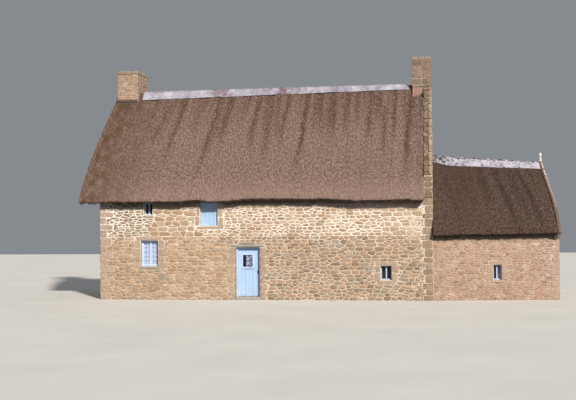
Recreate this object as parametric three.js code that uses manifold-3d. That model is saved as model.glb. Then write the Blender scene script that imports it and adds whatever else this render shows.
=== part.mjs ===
// A small stone farmhouse under thatch, with a lower thatched wing at its right end.
// Millimetres. X runs along the front from left to right, Y from the front to the back, Z up.
// The origin lies on the ground, in the middle of the main house.
import * as THREE from 'three';
import { mergeVertices } from 'three/addons/utils/BufferGeometryUtils.js';
import Module from 'manifold-3d';

const wasm = await Module();
wasm.setup();

// Joint left between two pieces that rest on each other
const GAP = 0.3;

// Main house: outside of the walls
const HOUSE_LENGTH = 12800;
const HOUSE_DEPTH = 5200;
const LONG_WALL = 620;
const LEFT_GABLE_WALL = 830;
const RIGHT_GABLE_WALL = 730;
const FLOOR_TOP = 120;
const LEFT = -HOUSE_LENGTH / 2;
const RIGHT = HOUSE_LENGTH / 2;
const FRONT = -HOUSE_DEPTH / 2;
const BACK = HOUSE_DEPTH / 2;
const LEFT_INNER = LEFT + LEFT_GABLE_WALL;
const RIGHT_INNER = RIGHT - RIGHT_GABLE_WALL;

// Main roof: the thatch is a straight slope from the eave to the ridge
const EAVE_Z = 3720;
const EAVE_OVERHANG = 464;
const EAVE_CUT_DROP = 50;
const THATCH_TOP = 8383;
const THATCH_THICKNESS = 320;
const EAVE_REACH = HOUSE_DEPTH / 2 + EAVE_OVERHANG;
const PITCH = Math.atan2(THATCH_TOP - EAVE_Z, EAVE_REACH);
const SLOPE = Math.tan(PITCH);
const THATCH_DROP = THATCH_THICKNESS / Math.cos(PITCH);
const SEAT = GAP / Math.cos(PITCH);
const surfaceZ = (y) => THATCH_TOP - SLOPE * Math.abs(y);
const undersideZ = (y) => surfaceZ(y) - THATCH_DROP;
const WALL_HEAD = undersideZ(FRONT) - SEAT;

// Left verge: the thatch reaches far past the gable at the eave and tucks in towards the chimney
const VERGE_AT_EAVE = 752;
const VERGE_AT_RIDGE = 80;
const VERGE_STEPS = 8;

// Right gable: a parapet of masonry with coping stones stands above the thatch
const PARAPET_WIDTH = 290;
const PARAPET_RISE = 110;
const COPING_THICKNESS = 80;
const COPING_LIP = 10;
const PARAPET_X = RIGHT - PARAPET_WIDTH;

// Chimneys stand on the gables from this height
const CHIMNEY_BASE_Z = 6000;
const LEFT_CHIMNEY = {
  x0: -6457, x1: -5607, y0: -300, y1: 1100, top: 9153, cap: 140, capLip: 40, dripZ: 7991,
};
const RIGHT_CHIMNEY = {
  x0: 5670, x1: 6400, y0: -233, y1: 967, top: 9374, cap: 119, capLip: 22, dripZ: 8279,
};
const DRIP_REACH = 35;
const DRIP_HEIGHT = 80;
const FLUE_WALL = 210;
const FLUE_BOTTOM_Z = 7500;
const CORBEL_Z = 7300;

// Cement ridge of the main roof
const RIDGE_CAP = { x0: -5440, x1: 5540, leftWidth: 215, rightWidth: 125, lip: 12, top: 60 };

// Roof timbers and the loft floor
const PURLIN = { along: 160, deep: 200, y: 1330, pastGable: 430 };
const RIDGE_BEAM = { width: 180, height: 220 };
const LOFT_FLOOR = { top: 2760, boards: 40, joistDepth: 200, joistWidth: 160, joists: 12 };

// Openings of the front, from the left: small loft window, casement, loft door, front door, small window
const UPPER_LEFT = { x0: -4650, x1: -4300, z0: 3260, z1: 3740 };
const LOWER_LEFT = { x0: -4770, x1: -4080, z0: 1280, z1: 2280 };
const LOFT_DOOR = { x0: -2420, x1: -1720, z0: 2830, z1: 3750 };
const DOORWAY = { x0: -1015, x1: -96, z1: 2001 };
const LOWER_RIGHT = { x0: 4470, x1: 4890, z0: 760, z1: 1300 };
const BACK_LOWER = { x0: 1200, x1: 1800, z0: 1100, z1: 1900 };
const BACK_LOFT = { x0: -3200, x1: -2750, z0: 3100, z1: 3600 };

// Joinery
const RECESS = 150;
const FRAME_DEPTH = 55;
const FRAME_WIDTH = 42;
const MULLION = 46;
const GLASS = 5;
const DOOR = { recess: 120, jamb: 60, frameDepth: 60, clearance: 6, leaf: 45, lap: 15, bottomGap: 8 };
const DOOR_PANE = { x0: -785, x1: -400, z0: 1245, z1: 1710 };
const HINGE = {
  pin: 8, play: 0.08, eye: 16, eyeHeight: 40, strap: 480, strapThickness: 6, armDeep: 14,
  heights: [420, 1560],
};
const SILL = { x0: -4800, x1: -4040, height: 62, deep: 150, reach: 35 };
const CURTAIN = { thickness: 24, drop: 860, width: 560, behind: 40 };
const ROD_RADIUS = 7;

// Wing: turned a little back from the front, with a convex thatch and a ridge that falls to the right
const WING_ANGLE = 0.1416;
const WING_SETBACK = 49;
const WING_LENGTH = 4663;
const WING_DEPTH = 4816;
const WING_WALL = 550;
const WING_HEAD = 2400;
const WING_EAVE_Z = 2416;
const WING_RIDGE_LEFT = 5519;
const WING_RIDGE_RIGHT = 5205;
const WING_BAND = 110;
const WING_COPING = 60;
const WING_AXIS = WING_DEPTH / 2;
const WING_START = -900;
const WING_STATIONS = [-900, 400, 1500, 2600, 3600];
const WING_WINDOW = { x0: 2230, x1: 2540, z0: 750, z1: 1310 };
const WING_CAP = { leftWidth: 430, rightWidth: 300, lip: 12, top: 60 };
const WING_BEAM = { width: 150, height: 180 };
const FINIAL = { foot: 58, neck: 40, ball: 62, top: 5620 };

// Half of the wing's thatch at its right end, from the ridge down: distance from the ridge axis, height
const WING_OUTER = [[0, WING_RIDGE_RIGHT], [1870, 3660], [2400, 3030], [2721, WING_EAVE_Z]];
const WING_INNER = [[2440, 2376], [2409, 2412], [2000, 3190], [0, 4842]];
const WING_KNEELER = [[2408, 2230], [2600, 2320], [2700, WING_EAVE_Z - 10]];

const stone = (color) => new THREE.MeshStandardMaterial({ color, roughness: 0.95, metalness: 0 });
const RUBBLE = 0xc9a884;
const GRANITE = 0xb9a893;
const THATCH = 0x8a6d60;
const WING_THATCH = 0x5f493c;
const CEMENT = 0xd5d3dc;
const PAINT = 0xa9cdea;
const OAK = 0x6b5340;
const thatch = (color) => new THREE.MeshStandardMaterial({ color, roughness: 1, metalness: 0 });
const paint = () => new THREE.MeshStandardMaterial({ color: PAINT, roughness: 0.55, metalness: 0 });
const oak = () => new THREE.MeshStandardMaterial({ color: OAK, roughness: 0.8, metalness: 0 });
const iron = () => new THREE.MeshStandardMaterial({ color: 0x2b2725, roughness: 0.6, metalness: 0.8 });
const glass = () => new THREE.MeshStandardMaterial({ color: 0x37424a, roughness: 0.08, opacity: 0.5 });
const linen = () => new THREE.MeshStandardMaterial({ color: 0xeeeef0, roughness: 0.9, metalness: 0 });

const cottage = new THREE.Group();
const wing = new THREE.Group();
wing.position.set(RIGHT, FRONT + WING_SETBACK, 0);
wing.rotation.z = WING_ANGLE;
cottage.add(wing);

// Adds a named piece to a group, with its corners shared between the faces
function piece(group, name, geometry, material) {
  const mesh = new THREE.Mesh(fromSolid(toSolid(geometry)), material);
  mesh.name = name;
  group.add(mesh);
  return mesh;
}

// Adds a named rectangular piece, placed by its middle
function block(group, name, [x0, x1], [y0, y1], [z0, z1], material) {
  const mesh = piece(group, name, new THREE.BoxGeometry(x1 - x0, y1 - y0, z1 - z0), material);
  mesh.position.set((x0 + x1) / 2, (y0 + y1) / 2, (z0 + z1) / 2);
  return mesh;
}

// A box as geometry in its group's own frame, for cutting and joining
function box([x0, x1], [y0, y1], [z0, z1]) {
  const geometry = new THREE.BoxGeometry(x1 - x0, y1 - y0, z1 - z0);
  return geometry.translate((x0 + x1) / 2, (y0 + y1) / 2, (z0 + z1) / 2);
}

function shapeOf(points, holes = []) {
  const shape = new THREE.Shape(points.map(([a, b]) => new THREE.Vector2(a, b)));
  for (const hole of holes) {
    shape.holes.push(new THREE.Path(hole.map(([a, b]) => new THREE.Vector2(a, b))));
  }
  return shape;
}

// A profile in Y and Z, drawn out along X
function alongX(points, x0, x1) {
  const geometry = new THREE.ExtrudeGeometry(shapeOf(points), { depth: x1 - x0, bevelEnabled: false });
  const axes = [new THREE.Vector3(0, 1, 0), new THREE.Vector3(0, 0, 1), new THREE.Vector3(1, 0, 0)];
  return geometry.applyMatrix4(new THREE.Matrix4().makeBasis(...axes)).translate(x0, 0, 0);
}

// A profile in X and Z with its holes, drawn out along Y
function alongY(points, holes, y0, y1) {
  const shape = shapeOf(points, holes);
  const geometry = new THREE.ExtrudeGeometry(shape, { depth: y1 - y0, bevelEnabled: false });
  const axes = [new THREE.Vector3(1, 0, 0), new THREE.Vector3(0, 0, 1), new THREE.Vector3(0, -1, 0)];
  return geometry.applyMatrix4(new THREE.Matrix4().makeBasis(...axes)).translate(0, y1, 0);
}

// A plan outline in X and Y, raised along Z
function alongZ(points, z0, z1) {
  const geometry = new THREE.ExtrudeGeometry(shapeOf(points), { depth: z1 - z0, bevelEnabled: false });
  return geometry.translate(0, 0, z0);
}

const rectangle = (x0, x1, z0, z1) => [[x0, z0], [x1, z0], [x1, z1], [x0, z1]];

function toSolid(geometry) {
  const plain = geometry.clone();
  plain.deleteAttribute('normal');
  plain.deleteAttribute('uv');
  const merged = mergeVertices(plain, 1e-3);
  return new wasm.Manifold(new wasm.Mesh({
    numProp: 3,
    vertProperties: new Float32Array(merged.attributes.position.array),
    triVerts: new Uint32Array(merged.index.array),
  }));
}

function fromSolid(solid) {
  const { vertProperties, triVerts } = solid.getMesh();
  const geometry = new THREE.BufferGeometry();
  geometry.setAttribute('position', new THREE.BufferAttribute(new Float32Array(vertProperties), 3));
  geometry.setIndex(new THREE.BufferAttribute(new Uint32Array(triVerts), 1));
  geometry.computeVertexNormals();
  return geometry;
}

function join(...geometries) {
  return fromSolid(geometries.map(toSolid).reduce((sum, next) => sum.add(next)));
}

function cut(geometry, ...tools) {
  return fromSolid(tools.map(toSolid).reduce((rest, tool) => rest.subtract(tool), toSolid(geometry)));
}

function keepInside(geometry, tool) {
  return fromSolid(toSolid(geometry).intersect(toSolid(tool)));
}

// A long wall with openings cut through it
function longWall(name, [x0, x1], [y0, y1], openings, extra = []) {
  const wall = box([x0, x1], [y0, y1], [0, WALL_HEAD]);
  const tools = openings.map((o) => box([o.x0, o.x1], [y0 - 50, y1 + 50], [o.z0, o.z1]));
  piece(cottage, name, cut(wall, ...tools, ...extra), stone(RUBBLE));
}

function buildLongWalls() {
  const sillPocket = box([SILL.x0, SILL.x1], [FRONT - 50, FRONT + SILL.deep],
    [LOWER_LEFT.z0 - SILL.height, LOWER_LEFT.z0]);
  const front = [FRONT, FRONT + LONG_WALL];
  longWall('front_wall_left', [LEFT, DOORWAY.x0], front, [UPPER_LEFT, LOWER_LEFT, LOFT_DOOR], [sillPocket]);
  longWall('front_wall_right', [DOORWAY.x1, RIGHT], front, [LOWER_RIGHT]);
  const doorX = [DOORWAY.x0, DOORWAY.x1];
  block(cottage, 'front_wall_over_door', doorX, front, [DOORWAY.z1, WALL_HEAD], stone(RUBBLE));
  longWall('back_wall', [LEFT, RIGHT], [BACK - LONG_WALL, BACK], [BACK_LOWER, BACK_LOFT]);
}

// Outline of a gable wall in Y and Z: it stands between the long walls and widens over their heads
function gableProfile(topZ, reach) {
  const inner = HOUSE_DEPTH / 2 - LONG_WALL - GAP;
  const ledge = WALL_HEAD + GAP;
  const shoulder = Math.max(topZ(reach), ledge + GAP);
  return [[-inner, 0], [inner, 0], [inner, ledge], [reach, ledge], [reach, shoulder], [0, topZ(0)],
    [-reach, shoulder], [-reach, ledge], [-inner, ledge]];
}

function chimneySeat(c, x0, x1) {
  return box([x0, x1], [c.y0 - GAP, c.y1 + GAP], [CHIMNEY_BASE_Z - GAP, THATCH_TOP + 900]);
}

// A purlin lies on the slope, right under the thatch; side is -1 at the front and 1 at the back
function purlinGeometry(side, play, x0, x1) {
  const centre = PURLIN.deep / 2 + GAP;
  const y = side * (PURLIN.y - centre * Math.sin(PITCH));
  const z = undersideZ(PURLIN.y) - centre * Math.cos(PITCH);
  const geometry = new THREE.BoxGeometry(x1 - x0, PURLIN.along + 2 * play, PURLIN.deep + 2 * play);
  return geometry.rotateX(-side * PITCH).translate((x0 + x1) / 2, y, z);
}

function buildGables() {
  const reach = HOUSE_DEPTH / 2 - 2 * GAP;
  const under = (y) => undersideZ(y) - SEAT;
  const left = alongX(gableProfile(under, reach), LEFT, LEFT_INNER);
  const pockets = [-1, 1].map((side) => purlinGeometry(side, GAP, LEFT - 50, LEFT_INNER + 50));
  const leftSeat = chimneySeat(LEFT_CHIMNEY, LEFT - 50, LEFT_INNER + 50);
  piece(cottage, 'left_gable_wall', cut(left, leftSeat, ...pockets), stone(RUBBLE));
  const raised = (y) => surfaceZ(y) + PARAPET_RISE / Math.cos(PITCH);
  const inner = alongX(gableProfile(under, reach), RIGHT_INNER, PARAPET_X);
  const outer = alongX(gableProfile(raised, HOUSE_DEPTH / 2), PARAPET_X, RIGHT);
  const seat = chimneySeat(RIGHT_CHIMNEY, RIGHT_INNER - 50, RIGHT + 50);
  piece(cottage, 'right_gable_wall', cut(join(inner, outer), seat), stone(RUBBLE));
}

// Coping stones of the parapet, from the wall face up to the chimney
function buildCopings() {
  const foot = (y) => surfaceZ(y) + (PARAPET_RISE + GAP) / Math.cos(PITCH);
  const head = (y) => foot(y) + COPING_THICKNESS / Math.cos(PITCH);
  const ends = [
    ['right_coping_front', FRONT, RIGHT_CHIMNEY.y0 - GAP],
    ['right_coping_back', RIGHT_CHIMNEY.y1 + GAP, BACK],
  ];
  for (const [name, y0, y1] of ends) {
    const profile = [[y0, foot(y0)], [y1, foot(y1)], [y1, head(y1)], [y0, head(y0)]];
    piece(cottage, name, alongX(profile, PARAPET_X - COPING_LIP, RIGHT + COPING_LIP), stone(GRANITE));
  }
}

// The shaft of a chimney with its drip stones, made larger by play where it serves as a cutting tool
function chimneyShaft(c, innerX, play) {
  const grow = ([a, b]) => [a - play, b + play];
  const outerX = Math.abs(c.x0) > Math.abs(c.x1) ? [LEFT, innerX] : [innerX, RIGHT];
  const shaft = box(grow([c.x0, c.x1]), grow([c.y0, c.y1]), grow([CORBEL_Z, c.top]));
  const base = box(grow(outerX), grow([c.y0, c.y1]), grow([CHIMNEY_BASE_Z, CORBEL_Z]));
  const backDripZ = surfaceZ(c.y1) + DRIP_HEIGHT;
  const dripX = c.x0 < 0 ? [c.x0 - DRIP_REACH, c.x1] : [c.x0, PARAPET_X - COPING_LIP - GAP];
  const frontZ = [c.dripZ, c.dripZ + DRIP_HEIGHT];
  const backZ = [backDripZ, backDripZ + DRIP_HEIGHT];
  const front = box(grow(dripX), grow([c.y0 - DRIP_REACH, c.y0 + 10]), grow(frontZ));
  const back = box(grow(dripX), grow([c.y1 - 10, c.y1 + DRIP_REACH]), grow(backZ));
  return join(shaft, base, front, back);
}

function flue(c, bottom, top) {
  return box([c.x0 + FLUE_WALL, c.x1 - FLUE_WALL], [c.y0 + FLUE_WALL, c.y1 - FLUE_WALL], [bottom, top]);
}

function buildChimneys() {
  const both = [['left', LEFT_CHIMNEY, LEFT_INNER], ['right', RIGHT_CHIMNEY, RIGHT_INNER]];
  for (const [side, c, innerX] of both) {
    const shaft = cut(chimneyShaft(c, innerX, 0), flue(c, FLUE_BOTTOM_Z, c.top + 50));
    piece(cottage, `${side}_chimney`, shaft, stone(RUBBLE));
    const slab = box([c.x0 - c.capLip, c.x1 + Math.min(c.capLip, RIGHT + c.capLip - c.x1)],
      [c.y0 - c.capLip, c.y1 + c.capLip], [c.top + GAP, c.top + c.cap]);
    const open = flue(c, c.top - 50, c.top + c.cap + 50);
    piece(cottage, `${side}_chimney_cap`, cut(slab, open), stone(GRANITE));
  }
}

// Plan of one roof slope: the left edge draws in from the eave to the ridge as a quarter sine
function slopePlan(side) {
  const edge = [];
  for (let i = 0; i <= VERGE_STEPS; i += 1) {
    const share = i / VERGE_STEPS;
    const reach = VERGE_AT_RIDGE + (VERGE_AT_EAVE - VERGE_AT_RIDGE) * Math.sin(share * Math.PI / 2);
    edge.push([LEFT - reach, side * (GAP / 2 + share * (EAVE_REACH + 50 - GAP / 2))]);
  }
  const rightX = PARAPET_X - GAP;
  const outline = [[rightX, side * GAP / 2], ...edge, [rightX, side * (EAVE_REACH + 50)]];
  return side < 0 ? outline : outline.reverse();
}

// Section of a cement ridge that saddles the thatch: a flat wing on each slope and a rounded top
function ridgeSection(halfWidth, lip, top, under, sink = 0) {
  const crown = (share, rise) => [share * halfWidth, under(share * halfWidth) + rise];
  const right = [[halfWidth, under(halfWidth) - sink], [halfWidth + lip, under(halfWidth) + lip],
    crown(0.85, top * 0.8),
    crown(0.4, top * 1.3)];
  const left = right.slice().reverse().map(([y, z]) => [-y, z]);
  return [[0, under(0) - sink], ...right, [0, under(0) + top], ...left];
}

function buildThatch() {
  const cutY = EAVE_REACH - THATCH_DROP / SLOPE + EAVE_CUT_DROP / SLOPE;
  const tools = [chimneyShaft(LEFT_CHIMNEY, LEFT_INNER, GAP), chimneyShaft(RIGHT_CHIMNEY, RIGHT_INNER, GAP)];
  for (const [name, side] of [['front_thatch', -1], ['back_thatch', 1]]) {
    const profile = [[0, THATCH_TOP], [0, THATCH_TOP - THATCH_DROP], [side * cutY, EAVE_Z - EAVE_CUT_DROP],
      [side * EAVE_REACH, EAVE_Z]];
    const slab = alongX(profile, LEFT - VERGE_AT_EAVE - 50, PARAPET_X);
    const trimmed = keepInside(slab, alongZ(slopePlan(side), EAVE_Z - 500, THATCH_TOP + 500));
    piece(cottage, name, cut(trimmed, ...tools), thatch(THATCH));
  }
  const { x0, x1, lip, top } = RIDGE_CAP;
  const under = (y) => surfaceZ(y) + SEAT;
  const narrowing = (RIDGE_CAP.rightWidth - RIDGE_CAP.leftWidth) / (x1 - x0);
  const half = (x) => RIDGE_CAP.leftWidth + narrowing * (x - x0);
  const capAt = (x) => ridgeSection(half(x), lip, top, under);
  piece(cottage, 'ridge_cap', lofted(capAt, [x0, x1]), stone(CEMENT));
}

function buildRoofTimbers() {
  const beamTop = undersideZ(RIDGE_BEAM.width / 2) - SEAT;
  const beamY = [-RIDGE_BEAM.width / 2, RIDGE_BEAM.width / 2];
  block(cottage, 'ridge_beam', [LEFT_INNER + GAP, RIGHT_INNER - GAP], beamY,
    [beamTop - RIDGE_BEAM.height, beamTop], oak());
  for (const [name, side] of [['front_purlin', -1], ['back_purlin', 1]]) {
    piece(cottage, name, purlinGeometry(side, 0, LEFT - PURLIN.pastGable, RIGHT_INNER - GAP), oak());
  }
}

// Boards on joists that run from the front wall to the back wall
function buildFloors() {
  const x = [LEFT_INNER + GAP, RIGHT_INNER - GAP];
  const y = [FRONT + LONG_WALL + GAP, BACK - LONG_WALL - GAP];
  block(cottage, 'ground_floor', x, y, [0, FLOOR_TOP], stone(0x8d8273));
  const { top, boards, joistDepth, joistWidth, joists } = LOFT_FLOOR;
  const parts = [box(x, y, [top - boards, top])];
  const pitch = (x[1] - x[0]) / joists;
  for (let i = 0; i < joists; i += 1) {
    const centre = x[0] + pitch * (i + 0.5);
    const across = [centre - joistWidth / 2, centre + joistWidth / 2];
    parts.push(box(across, y, [top - boards - joistDepth, top - boards + 5]));
  }
  piece(cottage, 'loft_floor', join(...parts), oak());
}

// A fixed frame with a middle post and two lights, and the glass behind it; out is -1 towards the front
function twoLightWindow(group, name, o, faceY, out) {
  const y = out < 0 ? [faceY, faceY + FRAME_DEPTH] : [faceY - FRAME_DEPTH, faceY];
  const middle = (o.x0 + o.x1) / 2;
  const lights = [[o.x0 + FRAME_WIDTH, middle - MULLION / 2], [middle + MULLION / 2, o.x1 - FRAME_WIDTH]];
  const holes = lights.map((x) => box(x, [y[0] - 20, y[1] + 20], [o.z0 + FRAME_WIDTH, o.z1 - FRAME_WIDTH]));
  const outline = box([o.x0 + GAP, o.x1 - GAP], y, [o.z0 + GAP, o.z1 - GAP]);
  piece(group, `${name}_frame`, cut(outline, ...holes), paint());
  const behind = out < 0 ? [y[1] + GAP, y[1] + GAP + GLASS] : [y[0] - GAP - GLASS, y[0] - GAP];
  block(group, `${name}_glass`, [o.x0 + 15, o.x1 - 15], behind, [o.z0 + 15, o.z1 - 15], glass());
}

function buildCasement() {
  const o = LOWER_LEFT;
  const y0 = FRONT + RECESS;
  const inside = {
    x0: o.x0 + FRAME_WIDTH, x1: o.x1 - FRAME_WIDTH, z0: o.z0 + FRAME_WIDTH, z1: o.z1 - FRAME_WIDTH,
  };
  const outline = rectangle(o.x0 + GAP, o.x1 - GAP, o.z0 + GAP, o.z1 - GAP);
  const hole = rectangle(inside.x0, inside.x1, inside.z0, inside.z1);
  piece(cottage, 'lower_left_frame', alongY(outline, [hole], y0, y0 + FRAME_DEPTH), paint());
  const middle = (o.x0 + o.x1) / 2;
  const stile = 38;
  const leaves = [
    ['lower_left_casement_a', inside.x0, middle],
    ['lower_left_casement_b', middle, inside.x1],
  ];
  for (const [name, x0, x1] of leaves) {
    const leaf = rectangle(x0 + GAP, x1 - GAP, inside.z0 + GAP, inside.z1 - GAP);
    const light = rectangle(x0 + stile, x1 - stile, inside.z0 + stile, inside.z1 - stile);
    piece(cottage, name, alongY(leaf, [light], y0 + 8, y0 + 48), paint());
  }
  const glassY = [y0 + 48 + GAP, y0 + 48 + GAP + GLASS];
  block(cottage, 'lower_left_glass', [inside.x0 + 10, inside.x1 - 10], glassY,
    [inside.z0 + 10, inside.z1 - 10], glass());
  const sillY = [FRONT - SILL.reach, FRONT + SILL.deep - GAP];
  block(cottage, 'lower_left_sill', [SILL.x0 + GAP, SILL.x1 - GAP], sillY,
    [o.z0 - SILL.height + GAP, o.z0], stone(GRANITE));
}

// A rod across the reveal behind the casement carries a pair of short curtains, drawn as one panel
function buildCurtain() {
  const o = LOWER_LEFT;
  const y = FRONT + RECESS + FRAME_DEPTH + CURTAIN.behind;
  const rodZ = o.z1 - 60;
  const rod = new THREE.CylinderGeometry(ROD_RADIUS, ROD_RADIUS, o.x1 - o.x0 - 2 * GAP, 10);
  const mesh = piece(cottage, 'curtain_rod', rod, iron());
  mesh.rotation.z = Math.PI / 2;
  mesh.position.set((o.x0 + o.x1) / 2, y, rodZ);
  const middle = (o.x0 + o.x1) / 2;
  const top = rodZ - ROD_RADIUS - GAP;
  block(cottage, 'lower_left_curtain', [middle - CURTAIN.width / 2, middle + CURTAIN.width / 2],
    [y - CURTAIN.thickness / 2, y + CURTAIN.thickness / 2], [top - CURTAIN.drop, top], linen());
}

function buildLoftDoor() {
  const o = LOFT_DOOR;
  const y0 = FRONT + RECESS - 20;
  const outline = rectangle(o.x0 + GAP, o.x1 - GAP, o.z0 + GAP, o.z1 - GAP);
  const rim = 65;
  const hole = rectangle(o.x0 + rim, o.x1 - rim, o.z0 + 30, o.z1 - rim);
  piece(cottage, 'loft_door_frame', alongY(outline, [hole], y0, y0 + FRAME_DEPTH), paint());
  block(cottage, 'loft_door', [o.x0 + rim + GAP, o.x1 - rim - GAP], [y0 + 8, y0 + 45],
    [o.z0 + 30 + GAP, o.z1 - rim - GAP], paint());
}

const LEAF_Y0 = FRONT + DOOR.recess + DOOR.frameDepth + DOOR.clearance;
const LEAF_Y1 = LEAF_Y0 + DOOR.leaf;
const LEAF_X0 = DOORWAY.x0 + DOOR.jamb - DOOR.lap;
const LEAF_X1 = DOORWAY.x1 - DOOR.jamb + DOOR.lap;
const HINGE_X = LEAF_X0 - 5;
const HINGE_Y = LEAF_Y1 + HINGE.eye + 1;

// The door closes against the back of its frame and opens inwards on two pins set in the left reveal
function buildFrontDoor() {
  block(cottage, 'threshold', [DOORWAY.x0 + GAP, DOORWAY.x1 - GAP], [FRONT - 45, FRONT + LONG_WALL],
    [0, FLOOR_TOP], stone(GRANITE));
  const frameY = FRONT + DOOR.recess;
  const head = DOORWAY.z1 - DOOR.jamb;
  const outline = [[DOORWAY.x0 + GAP, FLOOR_TOP + GAP], [DOORWAY.x0 + DOOR.jamb, FLOOR_TOP + GAP],
    [DOORWAY.x0 + DOOR.jamb, head], [DOORWAY.x1 - DOOR.jamb, head],
    [DOORWAY.x1 - DOOR.jamb, FLOOR_TOP + GAP], [DOORWAY.x1 - GAP, FLOOR_TOP + GAP],
    [DOORWAY.x1 - GAP, DOORWAY.z1 - GAP], [DOORWAY.x0 + GAP, DOORWAY.z1 - GAP]];
  piece(cottage, 'front_door_frame', alongY(outline, [], frameY, frameY + DOOR.frameDepth), paint());
  const leaf = rectangle(LEAF_X0, LEAF_X1, FLOOR_TOP + DOOR.bottomGap, head + DOOR.lap);
  const pane = rectangle(DOOR_PANE.x0, DOOR_PANE.x1, DOOR_PANE.z0, DOOR_PANE.z1);
  piece(cottage, 'front_door', alongY(leaf, [pane], LEAF_Y0, LEAF_Y1), paint());
  const paneY = [LEAF_Y0 + 20, LEAF_Y0 + 20 + GLASS];
  block(cottage, 'front_door_pane', [DOOR_PANE.x0 + GAP, DOOR_PANE.x1 - GAP], paneY,
    [DOOR_PANE.z0 + GAP, DOOR_PANE.z1 - GAP], glass());
}

function pinCylinder(radius, z0, z1) {
  const geometry = new THREE.CylinderGeometry(radius, radius, z1 - z0, 32);
  return geometry.rotateX(Math.PI / 2).translate(HINGE_X, HINGE_Y, (z0 + z1) / 2);
}

function buildHinges() {
  for (const [i, z] of HINGE.heights.entries()) {
    const level = i === 0 ? 'lower' : 'upper';
    const armY = [HINGE_Y - HINGE.armDeep / 2, HINGE_Y + HINGE.armDeep / 2];
    const arm = box([DOORWAY.x0 + GAP, HINGE_X], armY, [z - 16, z]);
    const collar = pinCylinder(HINGE.eye - 3, z - 16, z);
    const pin = pinCylinder(HINGE.pin, z - 16, z + HINGE.eyeHeight + 10);
    piece(cottage, `door_pin_${level}`, join(arm, collar, pin), iron());
    const eyeZ = [z + GAP, z + GAP + HINGE.eyeHeight];
    const eye = pinCylinder(HINGE.eye, ...eyeZ);
    const strapY = [LEAF_Y1 + GAP, LEAF_Y1 + GAP + HINGE.strapThickness];
    const strap = box([HINGE_X, HINGE_X + HINGE.strap], strapY, eyeZ);
    const bore = pinCylinder(HINGE.pin + HINGE.play, z - 50, z + HINGE.eyeHeight + 50);
    piece(cottage, `door_strap_${level}`, cut(join(eye, strap), bore), iron());
  }
}

// A solid drawn along X through the same Y and Z profile at several stations, the profile changing its size
function lofted(profileAt, stations) {
  const clockwise = THREE.ShapeUtils.isClockWise(profileAt(stations[0]).map(([x, y]) => ({ x, y })));
  const rings = stations.map((s) => (clockwise ? profileAt(s).slice().reverse() : profileAt(s)));
  const count = rings[0].length;
  const positions = rings.flatMap((ring, k) => ring.flatMap(([y, z]) => [stations[k], y, z]));
  const index = [];
  for (let k = 0; k < stations.length - 1; k += 1) {
    for (let i = 0; i < count; i += 1) {
      const [a, b] = [k * count + i, k * count + (i + 1) % count];
      index.push(a, b, b + count, a, b + count, a + count);
    }
  }
  const last = (stations.length - 1) * count;
  const flat = rings[0].map(([y, z]) => new THREE.Vector2(y, z));
  for (const [a, b, c] of THREE.ShapeUtils.triangulateShape(flat, [])) {
    const turnsLeft = !THREE.ShapeUtils.isClockWise([flat[a], flat[b], flat[c]]);
    const [p, q] = turnsLeft ? [b, c] : [c, b];
    index.push(last + a, last + p, last + q, a, q, p);
  }
  const geometry = new THREE.BufferGeometry();
  geometry.setAttribute('position', new THREE.Float32BufferAttribute(positions, 3));
  geometry.setIndex(index);
  geometry.computeVertexNormals();
  return geometry;
}

// The wing's ridge is higher at its left end: heights over the eave grow by this share
const wingGrowth = (s) => {
  const leftShare = (WING_RIDGE_LEFT - WING_EAVE_Z) / (WING_RIDGE_RIGHT - WING_EAVE_Z);
  return 1 + (leftShare - 1) * (1 - s / WING_LENGTH);
};
const raiseZ = (z, s) => (z > WING_EAVE_Z ? WING_EAVE_Z + (z - WING_EAVE_Z) * wingGrowth(s) : z);
const raise = (points, s) => points.map(([y, z]) => [y, raiseZ(z, s)]);
const onSide = (points, side) => points.map(([u, z]) => [WING_AXIS + side * Math.max(u, GAP / 2), z]);

// All that stands left of the main gable's face is cut away, seen from the turned wing
function mainHouseTool() {
  wing.updateMatrix();
  const back = wing.matrix.clone().invert();
  return box([RIGHT - 4000, RIGHT + GAP], [FRONT - 3000, BACK + 3000], [-500, 9000]).applyMatrix4(back);
}

function wingPiece(name, geometry, material) {
  piece(wing, name, cut(geometry, mainHouseTool()), material);
}

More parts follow.
